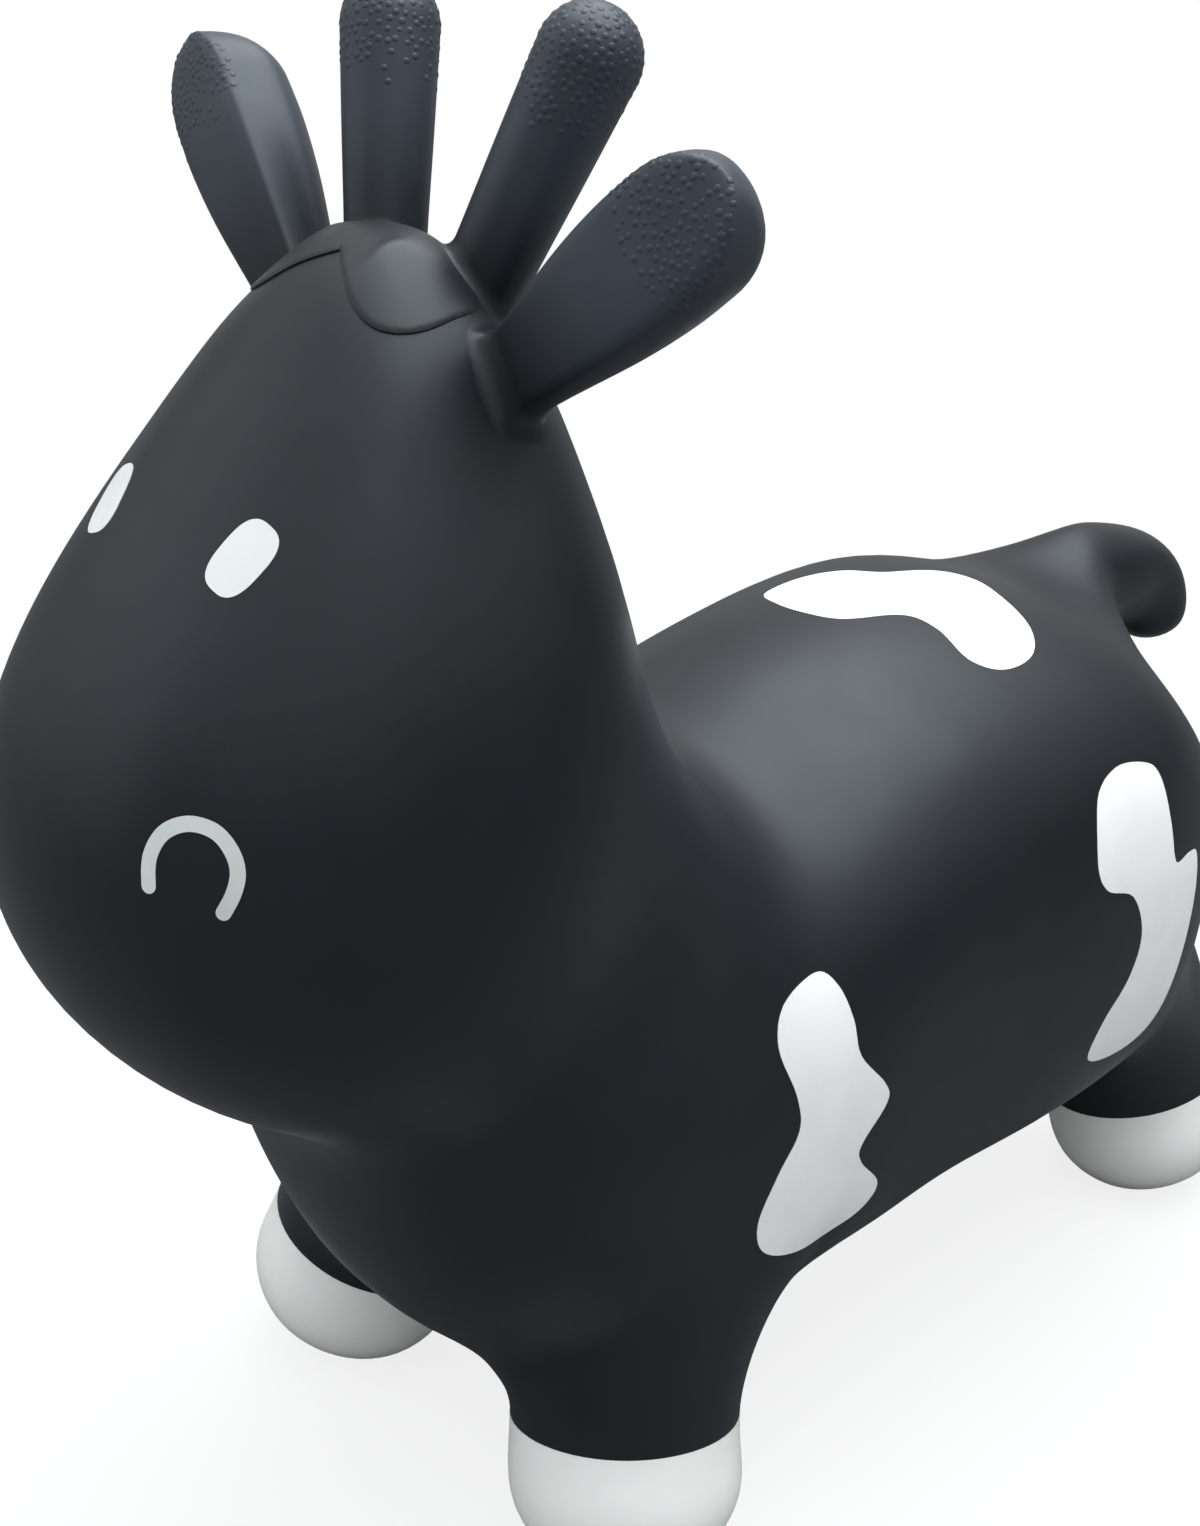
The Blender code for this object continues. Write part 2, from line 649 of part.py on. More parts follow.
def fingers(cage):
    """The horns and the ears, hollow and open where they stand on the head."""
    head_form = smoothed(cage, SKIN_LEVEL, GAP)
    cages = {
        "horn_left": horn_cage(), "horn_right": horn_cage(),
        "ear_left": ear_cage(LEFT_EAR_TIP_SHARES), "ear_right": ear_cage(RIGHT_EAR_TIP_SHARES),
    }
    pieces = {}
    for name, finger in cages.items():
        outside = smoothed(finger, FINGER_LEVEL)
        inside = smoothed(finger, FINGER_LEVEL, -WALL)
        wall = cut(cut(outside, inside, "DIFFERENCE"), head_form, "DIFFERENCE")
        pieces[name] = mirrored(wall) if name.endswith("right") else wall
    return pieces


def film(under, over, prism):
    """The part of a thin layer on the skin that a prism cuts out."""
    return cut(cut(over, prism, "INTERSECT"), under, "DIFFERENCE")


def stroke_outline(path, width):
    """The outline of a stroke of some width along a path, with round ends."""
    spots = [Vector(point) for point in path]
    ways = [(after - before).normalized() for before, after in
            zip([spots[0]] + spots[:-1], spots[1:] + [spots[-1]])]
    half = width / 2
    left = [spot + Vector((-way.y, way.x)) * half for spot, way in zip(spots, ways)]
    right = [spot - Vector((-way.y, way.x)) * half for spot, way in zip(spots, ways)]
    return [tuple(point) for point in
            [spots[0] - ways[0] * half] + left + [spots[-1] + ways[-1] * half] + right[::-1]]


def oval_outline(width, height):
    """A slightly squared oval."""
    points = []
    for step in range(ROUND_SIDES):
        angle = 2 * math.pi * step / ROUND_SIDES
        across = signed_power(math.cos(angle), 2 / EYE_SQUARENESS)
        along = signed_power(math.sin(angle), 2 / EYE_SQUARENESS)
        points.append((across * width / 2, along * height / 2))
    return points


def scaled(shares, width, length):
    """An outline's points from its shares and its size."""
    return [(across * width, along * length) for across, along in shares]


def mark_frame(place_shares, facing, upright):
    """A frame on the skin whose Z points out of it and whose Y points up the mark."""
    place = body_point(place_shares[0] * BODY_WIDTH / 2, place_shares[1], place_shares[2])
    facing = Vector(facing).normalized()
    return turned_frame(place, facing, Vector(upright).cross(facing))


def marks(cage, horns):
    """The painted films and the raised forelock."""
    under = smoothed(cage, SKIN_LEVEL, GAP)
    over = smoothed(cage, SKIN_LEVEL, GAP + FILM)
    left, right, up, back = (1, 0, 0), (-1, 0, 0), (0, 0, 1), (0, 1, 0)
    pieces = {}
    back_outline = scaled(BACK_OUTLINE_SHARES, BACK_PATCH_WIDTH, BACK_PATCH_LENGTH)
    tall_outline = scaled(SHOULDER_OUTLINE_SHARES, SHOULDER_PATCH_WIDTH, SHOULDER_PATCH_HEIGHT)
    hooked_outline = scaled(RUMP_OUTLINE_SHARES, RUMP_PATCH_WIDTH, RUMP_PATCH_HEIGHT)
    patches = (
        ("patch_back", BACK_PATCH_SHARES, up, back, back_outline),
        ("patch_shoulder_left", SHOULDER_PATCH_SHARES, left, up, tall_outline),
        ("patch_rump_left", RUMP_PATCH_SHARES, left, up, hooked_outline),
        ("patch_flank_right", FLANK_PATCH_SHARES, right, up, hooked_outline),
        ("patch_haunch_right", HAUNCH_PATCH_SHARES, right, up, tall_outline),
    )
    for name, place, facing, upright, outline in patches:
        prism = outline_prism(wavy(outline), mark_frame(place, facing, upright), -OVERRUN, OVERRUN)
        pieces[name] = film(under, over, prism)
    eye_frame = mark_frame(EYE_PLACE_SHARES, EYE_FACING_SHARES, EYE_UPRIGHT_SHARES)
    eye_prism = outline_prism(oval_outline(EYE_WIDTH, EYE_HEIGHT), eye_frame, -OVERRUN, OVERRUN)
    eye = film(under, over, eye_prism)
    nostril_frame = mark_frame(NOSTRIL_PLACE_SHARES, NOSTRIL_FACING_SHARES, up)
    stroke = stroke_outline(scaled(NOSTRIL_PATH_SHARES, NOSTRIL_SIZE, NOSTRIL_SIZE), NOSTRIL_STROKE)
    nostril = film(under, over, outline_prism(stroke, nostril_frame, -OVERRUN, OVERRUN))
    for name, mesh in (("eye", eye), ("nostril", nostril)):
        pieces[name + "_left"] = mesh
        pieces[name + "_right"] = mirrored(mesh)
    pieces["forelock"] = forelock(cage, under, horns)
    return pieces


def forelock(cage, under, horns):
    """The raised lock of hair on the crown, cut clear of the horns."""
    half = scaled(FORELOCK_HALF_SHARES, FORELOCK_WIDTH, FORELOCK_DEPTH)
    outline = half + [(-across, along) for across, along in half[-2:0:-1]]
    frame = mark_frame(FORELOCK_PLACE_SHARES, (0, 0, 1), (0, 1, 0))
    over = smoothed(cage, SKIN_LEVEL, GAP + FORELOCK_THICKNESS)
    lock = film(under, over, outline_prism(outline, frame, -DEEP_OVERRUN, DEEP_OVERRUN))
    for horn in horns:
        lock = cut(lock, horn, "DIFFERENCE")
    return lock


def valve():
    """The valve's moulded seat and its stopper plug, about the valve's place."""
    skin_bottom = -VALVE_LIP
    seat = turned([
        (VALVE_BORE_RADIUS, VALVE_NECK_HEIGHT), (VALVE_BORE_RADIUS, skin_bottom),
        (VALVE_FLANGE_RADIUS, skin_bottom), (VALVE_FLANGE_RADIUS, WALL), (VALVE_NECK_RADIUS, WALL),
        (VALVE_NECK_RADIUS, VALVE_NECK_HEIGHT),
    ])
    head_top = skin_bottom - GAP
    head_bottom = head_top - PLUG_HEAD_THICKNESS
    profile = [
        (0, head_bottom), (PLUG_HEAD_RADIUS - PLUG_RIB_HEIGHT / 2, head_bottom),
        (PLUG_HEAD_RADIUS, head_bottom + PLUG_RIB_HEIGHT / 2), (PLUG_HEAD_RADIUS, head_top),
        (PLUG_SHAFT_RADIUS, head_top),
    ]
    for share in PLUG_RIB_SHARES:
        foot = head_top + share * PLUG_SHAFT_LENGTH
        profile += [(PLUG_SHAFT_RADIUS, foot), (PLUG_RIB_RADIUS, foot + PLUG_RIB_HEIGHT / 2),
                    (PLUG_SHAFT_RADIUS, foot + PLUG_RIB_HEIGHT)]
    profile += [(PLUG_TIP_RADIUS, head_top + PLUG_SHAFT_LENGTH), (0, head_top + PLUG_SHAFT_LENGTH)]
    plug = turned(profile)
    for mesh in (seat, plug):
        mesh.transform(Matrix.Translation(valve_place()))
    return {"valve_seat": seat, "valve_plug": plug}


def material(name, colour, roughness):
    """A plain plastic of one colour."""
    finish = bpy.data.materials.new(name)
    finish.use_nodes = True
    shader = finish.node_tree.nodes["Principled BSDF"]
    shader.inputs["Base Color"].default_value = colour
    shader.inputs["Roughness"].default_value = roughness
    shader.inputs["Metallic"].default_value = 0
    finish.diffuse_color = colour
    return finish


def colour_of(name):
    """The colour and roughness of a piece, from its name."""
    if name.startswith("hoof"):
        return HOOF_WHITE, SATIN_ROUGHNESS
    if name == "valve_plug":
        return PLUG_WHITE, SATIN_ROUGHNESS
    if name.startswith(("patch", "eye", "nostril")):
        return PAINT_WHITE, MATT_ROUGHNESS
    return SKIN_BLACK, MATT_ROUGHNESS


def stand_middle(pieces):
    """Moves every mesh so that the origin lies under the middle of the whole animal."""
    places = [vertex.co.y for mesh in pieces.values() for vertex in mesh.vertices]
    shift = Matrix.Translation((0, -(min(places) + max(places)) / 2, 0))
    for mesh in pieces.values():
        mesh.transform(shift)


def place_piece(name, mesh, collection, parent):
    """Puts a piece into the model with its origin at its own middle and its own material."""
    spots = [vertex.co for vertex in mesh.vertices]
    middle = sum(spots, Vector()) / len(spots)
    if name.startswith("valve"):
        middle = Vector((0, middle.y, min(spot.z for spot in spots)))
    mesh.transform(Matrix.Translation(-middle))
    thing = new_object(name, mesh, collection)
    thing.location = middle
    thing.parent = parent
    mesh.name = name
    mesh.materials.clear()
    colour, roughness = colour_of(name)
    mesh.materials.append(material(name, colour, roughness))
    mesh.shade_smooth()
    mesh.set_sharp_from_angle(angle=SHARP_ANGLE)


def main():
    """Builds the whole animal."""
    clear_scene()
    scene = bpy.context.scene
    collection = bpy.data.collections.new("ride_on_cow")
    scene.collection.children.link(collection)
    empties = {}
    for name, above in (("cow", None), ("standing_feet", "cow"), ("sprung_body", "cow"),
                        ("pulled_plug", "sprung_body")):
        empties[name] = new_object(name, None, collection)
        empties[name].parent = empties.get(above)
    cage = whole_cage(scene.collection)
    pieces = skin_zones(cage)
    pieces.update(fingers(cage))
    horn_room = smoothed(horn_cage(), FINGER_LEVEL, GAP)
    pieces.update(marks(cage, [horn_room, mirrored(horn_room)]))
    pieces.update(valve())
    stand_middle(pieces)
    for name, mesh in pieces.items():
        parent = "sprung_body"
        if name.startswith(("hoof", "leg")):
            parent = "standing_feet"
        if name == "valve_plug":
            parent = "pulled_plug"
        place_piece(name, mesh, collection, empties[parent])


if __name__ == "__main__":
    main()
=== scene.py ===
"""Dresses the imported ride-on cow: one smooth moulded skin, pebbled grips, painted marks and a stage.

Metres, +Z up. The animal looks along -Y and its own left side is +X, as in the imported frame.
"""
import json
import math

import bmesh
import bpy
from bpy.props import FloatProperty, FloatVectorProperty, IntProperty, PointerProperty
from mathutils import Matrix, Vector
from mathutils.bvhtree import BVHTree
from mathutils.geometry import delaunay_2d_cdt


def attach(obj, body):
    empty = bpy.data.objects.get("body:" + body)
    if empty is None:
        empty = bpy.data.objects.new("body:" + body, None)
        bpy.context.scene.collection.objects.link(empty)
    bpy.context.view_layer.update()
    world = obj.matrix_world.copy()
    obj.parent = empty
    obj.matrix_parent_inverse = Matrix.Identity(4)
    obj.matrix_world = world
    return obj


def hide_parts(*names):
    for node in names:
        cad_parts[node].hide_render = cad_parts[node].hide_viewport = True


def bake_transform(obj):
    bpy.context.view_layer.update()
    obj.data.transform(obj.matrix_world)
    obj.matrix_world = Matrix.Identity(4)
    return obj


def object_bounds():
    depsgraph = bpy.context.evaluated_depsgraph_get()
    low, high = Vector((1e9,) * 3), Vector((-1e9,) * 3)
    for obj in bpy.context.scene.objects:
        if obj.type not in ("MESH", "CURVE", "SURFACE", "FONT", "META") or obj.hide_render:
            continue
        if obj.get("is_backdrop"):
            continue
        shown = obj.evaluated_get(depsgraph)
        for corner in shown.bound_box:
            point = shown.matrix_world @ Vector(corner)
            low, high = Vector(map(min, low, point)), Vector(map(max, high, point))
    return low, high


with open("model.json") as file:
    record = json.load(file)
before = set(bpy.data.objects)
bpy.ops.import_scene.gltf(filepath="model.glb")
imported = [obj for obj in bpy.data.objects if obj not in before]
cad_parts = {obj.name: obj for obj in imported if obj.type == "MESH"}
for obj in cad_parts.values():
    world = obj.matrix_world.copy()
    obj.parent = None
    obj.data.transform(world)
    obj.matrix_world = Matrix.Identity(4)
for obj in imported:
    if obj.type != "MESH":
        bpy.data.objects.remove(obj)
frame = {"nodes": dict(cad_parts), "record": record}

bl_info = {
    "name": "Ride-on cow dressing",
    "version": (1, 0, 0),
    "blender": (4, 5, 0),
    "location": "View3D > Sidebar > Ride-on cow",
    "description": "Builds the moulded skin, grips, paint and stage of a bouncy ride-on cow",
    "category": "Object",
}

CAD_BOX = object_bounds()

# Where the hooves stand, from the frame, and the animal's length and height that follow from them
SOLES = {mount["name"]: Vector(mount["pos_m"]) for mount in frame["record"]["mounts"]}
FRONT_SOLE = SOLES["sole_front_left"]
REAR_SOLE = SOLES["sole_rear_left"]
FRONT_HOOF_ALONG_SHARE = 0.3103
REAR_HOOF_ALONG_SHARE = 0.9103
BODY_LENGTH = (REAR_SOLE.y - FRONT_SOLE.y) / (REAR_HOOF_ALONG_SHARE - FRONT_HOOF_ALONG_SHARE)
MUZZLE_Y = FRONT_SOLE.y - FRONT_HOOF_ALONG_SHARE * BODY_LENGTH
CROWN_HEIGHT = 0.468
BODY_WIDTH = 0.236
HOOF_RADIUS = 0.0425
SOLE_CUT = 0.004
HOOF_LINE_RISE = 0.015
LEG_SPLAY_OUT = math.radians(15)
LEG_SPLAY_ALONG = math.radians(11)
TAIL_RADIUS = 0.019
HORN_RADIUS = 0.0150
EAR_RADIUS = 0.0192

# Sections of the skin from the rump to the crown, as shares. Each row holds the place of the top
# point along the body and its height, the same for the bottom point, the half width, and how much
# squarer the lower half is. Places along the body run from 0 at the muzzle to 1 at the rump.
SECTIONS = [
    (0.930, 0.460, 0.946, 0.255, 0.50, 0.2),
    (0.884, 0.553, 0.880, 0.160, 0.79, 0.4),
    (0.820, 0.620, 0.795, 0.145, 0.97, 0.6),
    (0.724, 0.650, 0.700, 0.145, 1.02, 0.6),
    (0.603, 0.641, 0.586, 0.145, 0.98, 0.6),
    (0.514, 0.617, 0.490, 0.143, 0.97, 0.6),
    (0.458, 0.597, 0.412, 0.140, 0.97, 0.5),
    (0.412, 0.598, 0.326, 0.137, 0.955, 0.4),
    (0.380, 0.639, 0.234, 0.173, 0.895, 0.3),
    (0.355, 0.685, 0.183, 0.274, 0.84, 0.2),
    (0.336, 0.733, 0.150, 0.386, 0.80, 0.1),
    (0.321, 0.781, 0.084, 0.450, 0.835, 0.0),
    (0.311, 0.828, 0.022, 0.540, 0.82, 0.0),
    (0.301, 0.873, 0.004, 0.652, 0.72, 0.0),
    (0.288, 0.919, 0.035, 0.757, 0.575, 0.0),
    (0.268, 0.959, 0.087, 0.849, 0.435, 0.0),
    (0.244, 0.990, 0.141, 0.931, 0.30, 0.0),
    (0.222, 1.002, 0.178, 0.982, 0.14, 0.0),
]
SECTION_POINTS = 8
SECTION_SQUARENESS = 2.2
EYE_SQUARENESS = 2.8
REAR_LEG_SECTION = 0
FRONT_LEG_SECTION = 6
LEG_COLUMN = 4

# Rings down a leg, as shares of the hoof radius: height above the ball's centre, and radius
LEG_RINGS = [(0.42, 0.975), (-0.20, 1.00), (-0.68, 0.80), (-0.97, 0.38)]
# How far a leg's flare has come down from the body to its first ring and in towards that ring, where
# a leg ends, and how far its inner edge lies from the middle at its three sections and rises there
LEG_FLARE = (0.50, 0.66)
LEG_END_SHARE = -1.02
LEG_INNER = (0.62, 0.40, 0.70)
LEG_INNER_RISE_SHARE = 0.05

# The tail's rings: place along the body and height, and the radius as a share of the tail's radius
TAIL_ROOT = (0.838, 0.581)
TAIL_RINGS = [
    (0.888, 0.598, 1.2), (0.923, 0.599, 1.1), (0.972, 0.586, 1.0), (1.007, 0.555, 1.0),
    (1.018, 0.523, 0.85),
]
TAIL_END = (1.018, 0.503)
TAIL_HALF_SIDES = 4
# Where the skin is eased: the tail's root and the crown, how far round them, and in how many rounds
EASED_PLACES = [((0.885, 0.560), 0.046, 40), ((0.235, 0.965), 0.060, 30)]

# Left horn and left ear, from the root inside the head to the centre of the round end: shares of
# half the body's width, its length and the crown's height
HORN_ROOT = (0.14, 0.240, 0.935)
HORN_TIP = (0.360, 0.279, 1.104)
EAR_ROOT = (0.30, 0.228, 0.903)
LEFT_EAR_TIP = (0.863, 0.252, 1.0325)
# The soft right ear stands a little higher
RIGHT_EAR_TIP = (0.863, 0.252, 1.048)
# Radius along a horn and an ear, from the root to the end's centre, as shares
HORN_WIDTHS = [(0.0, 0.78), (0.30, 0.83), (0.65, 0.92), (1.0, 1.0)]
EAR_WIDTHS = [(0.0, 0.50), (0.30, 0.68), (0.62, 0.91), (0.84, 1.0), (1.0, 1.0)]
# Half of a cross-section from the middle of the front to the middle of the back: how far it lies
# to the front and across, in radii. An ear is flat in front, with a soft edge, and round behind.
HORN_SECTION = [
    (1.0, 0.0), (0.924, 0.383), (0.707, 0.707), (0.383, 0.924), (0.0, 1.0),
    (-0.383, 0.924), (-0.707, 0.707), (-0.924, 0.383), (-1.0, 0.0),
]
EAR_SECTION = [
    (0.76, 0.0), (0.755, 0.38), (0.735, 0.70), (0.69, 0.84), (0.60, 0.92), (0.32, 0.975),
    (0.0, 1.0), (-0.34, 0.96), (-0.66, 0.76), (-0.88, 0.42), (-0.96, 0.0),
]
SECTION_STEPS = 4
FINGER_RINGS = 30
FINGER_END_RINGS = 14
FINGER_START = 0.02
FILLET_RINGS = 14
# A horn's and an ear's end: its length in radii, how far in front of the middle its tip lies, and how
# much shallower the back gets on the way to it
HORN_END = (1.0, 0.0, 0.0)
EAR_END = (1.22, 0.50, 0.06)
# How deep a pebble's ball sits under the surface, so that only a low cap stands out
PEBBLE_SINK_SHARE = 0.55
# The ball's segments and rings, a pebble's least and greatest size as shares, and how densely the
# pebbles are sown before their spacing thins them
PEBBLE_SEGMENTS, PEBBLE_RINGS = 8, 6
PEBBLE_SIZES = (0.78, 1.08)
PEBBLE_DENSITY = 400000
# Where the pebbles begin and where they stand closely: along a horn, along an ear and round its front
HORN_PEBBLES = (0.74, 0.92)
EAR_PEBBLES = (0.84, 0.99)
EAR_FRONT_PEBBLES = (0.45, 0.62)

# What is laid on the skin: its place as shares of half the width, the length and the height, the way
# that it faces and the way that its top points
LEFT, RIGHT, UP, BACK = (1, 0, 0), (-1, 0, 0), (0, 0, 1), (0, 1, 0)
FORELOCK_LAY = ((0, 0.2086, 0.97), UP, BACK)
EYE_LAY = ((0.275, 0.0888, 0.843), (0.366, -0.734, 0.572), (0.25, 0.56, 0.76))
NOSTRIL_LAY = ((0.453, 0.0409, 0.6825), (0.590, -0.781, 0.203), UP)
BACK_LAY = ((0.075, 0.6637, 0.643), UP, BACK)
SHOULDER_LAY = ((0.96, 0.400, 0.3803), LEFT, UP)
RUMP_LAY = ((0.96, 0.7207, 0.4124), LEFT, UP)
FLANK_LAY = ((-0.96, 0.510, 0.3885), RIGHT, UP)
HAUNCH_LAY = ((-0.96, 0.775, 0.3885), RIGHT, UP)
# Outlines and paths from their middle, as shares of their width and their height
BACK_OUTLINE = [
    (-0.50, -0.36), (-0.49, -0.12), (-0.38, 0.05), (-0.22, 0.14), (-0.10, 0.40), (0.03, 0.49),
    (0.20, 0.43), (0.41, 0.32), (0.52, 0.15), (0.52, -0.08), (0.42, -0.20), (0.24, -0.16),
    (0.10, -0.20), (-0.04, -0.44), (-0.20, -0.50), (-0.36, -0.47),
]
SHOULDER_OUTLINE = [
    (0.00, 0.50), (-0.30, 0.46), (-0.39, 0.34), (-0.28, 0.15), (-0.26, 0.02), (-0.40, -0.12),
    (-0.51, -0.29), (-0.41, -0.43), (-0.05, -0.51), (0.38, -0.48), (0.50, -0.39), (0.29, -0.24),
    (0.27, -0.16), (0.46, -0.04), (0.43, 0.04), (0.22, 0.19), (0.19, 0.32), (0.13, 0.44),
]
RUMP_OUTLINE = [
    (0.05, 0.49), (-0.20, 0.51), (-0.42, 0.45), (-0.51, 0.28), (-0.44, 0.18), (-0.21, 0.12),
    (-0.09, -0.03), (-0.14, -0.18), (-0.30, -0.32), (-0.32, -0.46), (0.00, -0.51), (0.30, -0.47),
    (0.46, -0.32), (0.51, -0.05), (0.48, 0.13), (0.38, 0.16), (0.21, 0.16), (0.17, 0.30), (0.15, 0.44),
]
NOSTRIL_PATH = [
    (-0.58, -0.24), (-0.58, 0.08), (-0.44, 0.36), (-0.17, 0.50), (0.13, 0.46), (0.33, 0.27),
    (0.41, 0.04), (0.37, -0.20), (0.27, -0.42),
]
FORELOCK_HALF = [
    (0.00, -0.24), (0.11, -0.37), (0.25, -0.48), (0.38, -0.47), (0.47, -0.32), (0.50, -0.07),
    (0.46, 0.25), (0.27, 0.43), (0.00, 0.50),
]
# How much of the forelock's edge is a plain upright step, and where the pad sinks in towards its back
FORELOCK_WALL_SHARE = 0.55
FORELOCK_FADE = (-0.05, 0.50)
CURVE_STEPS = 6
CAP_STEPS = 8
# From how far out a laid piece is dropped on the skin, and how far apart its points lie
REACH = 0.060
PATCH_SPACING = 0.0035
EYE_SPACING = 0.0020
NOSTRIL_SPACING = 0.0015
# Where an edge turns by more than this, it stays sharp
SHARP_ANGLE = math.radians(50)
# How close two points of the skin's halves are to be merged
SEAM_MERGE = 0.0001
# How far from its ball's centre a hoof's skin is looked for, in hoof radii
HOOF_REACH_SHARE = 1.35
# How deep a laid piece reaches under the skin, so that its rim is closed
UNDER_SKIN = 0.0006
# How deep the rim of a fillet sinks into the skin that it runs out on
LANDING_SINK = 0.00003

# The camera that the photograph was taken with, solved from the mirrored features, in the frame
CAMERA_PLACE = Vector((0.456, MUZZLE_Y - 0.241, 0.574))
CAMERA_AZIMUTH = math.radians(44.4)
CAMERA_ELEVATION = math.radians(24.8)
CAMERA_ROLL = math.radians(-3.2)
PHOTO_HEIGHT = 1526
FOCAL_IN_PIXELS = 2030

# How pale the floor is for bounced light, as a share of what the camera sees
FLOOR_BOUNCE_SHARE = 0.17
FLOOR_REACH = 20
# Where the white backdrop stands, seen from the toy
BACKDROP_WAY = (-0.70, 0.66, 0.27)
# Ramps, each from one place to another and from one value to another: the floor's run-out to white by
# its distance from the toy, for the camera and in gloss, and how pale the room is in gloss, by how far
# up it is looked at and by how nearly towards the backdrop
FLOOR_FADE = (0.25, 0.9, 0.80, 1.0)
FLOOR_GLOSS_FADE = (2.5, 9.0, 0.0, 0.2)
ROOM_FADE = (0.10, 0.88, 0.05, 0.9)
BACKDROP_FADE = (0.45, 0.95, 0.0, 0.5)
# A lamp's width and height, its place and the place that it points to
OVERHEAD_LAMP = ((1.9, 1.5), (0.0, 0.30, 1.75), (0, 0, 0.25))
FRONT_LAMP = ((2.4, 1.6), (-1.45, -1.55, 1.05), (0, -0.15, 0.30))
LAMP_COLOUR = (0.96, 0.98, 1.0)
FILL_COLOUR = (0.93, 0.96, 1.0, 1)
# How much paler the horns and ears are painted than the rest of the skin, as painted light for the
# light that they catch, and from where to where on their length they get so
GRIP_PAINTED_LIGHT_FACTOR = 4.8
GRIP_PAINTED_LIGHT_SPAN = (0.22, 0.75)
# How fine the grain of the mould is
MOULD_GRAIN_SCALE = 1500

SKIN_NODES = ("torso", "head", "tail", "leg_front_left", "leg_front_right", "leg_rear_left",
              "leg_rear_right")


def size_setting(name, description, default):
    """A setting for a length, or for a width and a length together."""
    given = {"name": name, "description": description, "default": default, "unit": "LENGTH"}
    if isinstance(default, tuple):
        return FloatVectorProperty(size=len(default), **given)
    return FloatProperty(**given)


def colour_setting(name, description, default):
    """A setting for a colour."""
    return FloatVectorProperty(name=name, description=description, default=default, subtype="COLOR",
                               size=3, min=0, max=1)


class CowSizes(bpy.types.PropertyGroup):
    """Sizes of the moulded details that a user may change."""
    skin_level: IntProperty(
        name="Skin detail", description="Subdivision levels of the skin", default=3, min=1, max=4)
    pebble_spacing: size_setting("Pebble spacing", "Least distance between two grip pebbles", 0.0022)
    pebble_width: size_setting("Pebble width", "Width of one grip pebble", 0.0021)
    pebble_height: size_setting("Pebble height", "How far a pebble stands out", 0.0002)
    horn_fillet: size_setting("Horn fillet", "Radius where a horn meets the head", 0.0050)
    ear_fillet: size_setting("Ear fillet", "Radius where an ear meets the head", 0.0085)
    forelock_width: size_setting("Forelock width", "Width of the forelock", 0.074)
    forelock_depth: size_setting("Forelock depth", "Depth of the forelock", 0.044)
    forelock_height: size_setting("Forelock height", "How far the forelock stands out", 0.0010)
    forelock_edge: size_setting("Forelock edge", "Width of the forelock's rounded edge", 0.0015)
    paint_thickness: size_setting("Paint thickness", "How far paint stands out of the skin", 0.00018)
    eye_width: size_setting("Eye width", "Width of an eye", 0.0152)
    eye_height: size_setting("Eye height", "Height of an eye", 0.0229)
    nostril_size: size_setting("Nostril size", "Width and height of a nostril", 0.0248)
    nostril_stroke: size_setting("Nostril stroke", "Width of a nostril's stroke", 0.0042)
    back_patch: size_setting("Back patch", "Width and length of the patch on the back", (0.100, 0.080))
    shoulder_patch: size_setting("Shoulder patch", "Width and height on the shoulder", (0.062, 0.104))
    rump_patch: size_setting("Rump patch", "Width and height of the patch on the rump", (0.073, 0.125))


class CowColours(bpy.types.PropertyGroup):
    """Colours of the moulded skin, its paint and the stage."""
    skin: colour_setting("Skin", "Blue-black of the moulded skin", (0.0046, 0.0060, 0.0080))
    skin_bloom: colour_setting("Skin bloom", "Paler tint of handled skin", (0.0078, 0.0096, 0.0122))
    patch: colour_setting("Patch white", "White of the cow patches", (0.80, 0.80, 0.79))
    eye: colour_setting("Eye white", "White of the eyes", (0.63, 0.655, 0.64))
    nostril: colour_setting("Nostril white", "Greyer white of the nostrils", (0.60, 0.63, 0.605))
    hoof: colour_setting("Hoof white", "Warm white of the hooves", (0.84, 0.835, 0.79))
    plug: colour_setting("Plug white", "White of the valve's stopper", (0.74, 0.74, 0.72))
    floor: colour_setting("Floor", "Colour of the floor", (0.80, 0.80, 0.80))


class CowLight(bpy.types.PropertyGroup):
    """The plain studio light."""
    overhead: FloatProperty(
        name="Overhead light", description="Power of the wide soft lamp above", default=31,
        subtype="POWER")
    front: FloatProperty(
        name="Front light", description="Power of the wide soft lamp in front", default=7,
        subtype="POWER")
    fill: FloatProperty(
        name="Fill", description="Strength of the light from all round", default=1.20, min=0)


def sizes():
    """The size settings of the open scene."""
    return bpy.context.scene.cow_sizes


def colours():
    """The colour settings of the open scene."""
    return bpy.context.scene.cow_colours


# Places and outlines

def body_point(side, along_share, height_share):
    """A place on the animal from its shares of the body's length and the crown's height."""
    return Vector((side, MUZZLE_Y + along_share * BODY_LENGTH, height_share * CROWN_HEIGHT))


def shared_place(shares):
    """A place from shares of half the body's width, its length and the crown's height."""
    return body_point(shares[0] * BODY_WIDTH / 2, shares[1], shares[2])


def signed_power(value, power):
    """The power of a value's size, with the value's sign."""
    return math.copysign(abs(value) ** power, value)


def smoothstep(low, high, value):
    """0 below low, 1 above high, and smooth between them."""
    share = min(1, max(0, (value - low) / (high - low)))
    return share * share * (3 - 2 * share)


def curve_through(points, steps, closed=True):
    """A smooth curve through points, with steps stretches between each two."""
    spots = [Vector(point) for point in points]
    count = len(spots)
    result = []
    for index in range(count if closed else count - 1):
        before, start, end, after = (
            spots[place % count if closed else min(max(place, 0), count - 1)]
            for place in range(index - 1, index + 3))
        for step in range(steps):
            t = step / steps
            result.append(0.5 * (2 * start + (end - before) * t
                                 + (2 * before - 5 * start + 4 * end - after) * t ** 2
                                 + (3 * start - before - 3 * end + after) * t ** 3))
    if not closed:
        result.append(spots[-1])
    return result


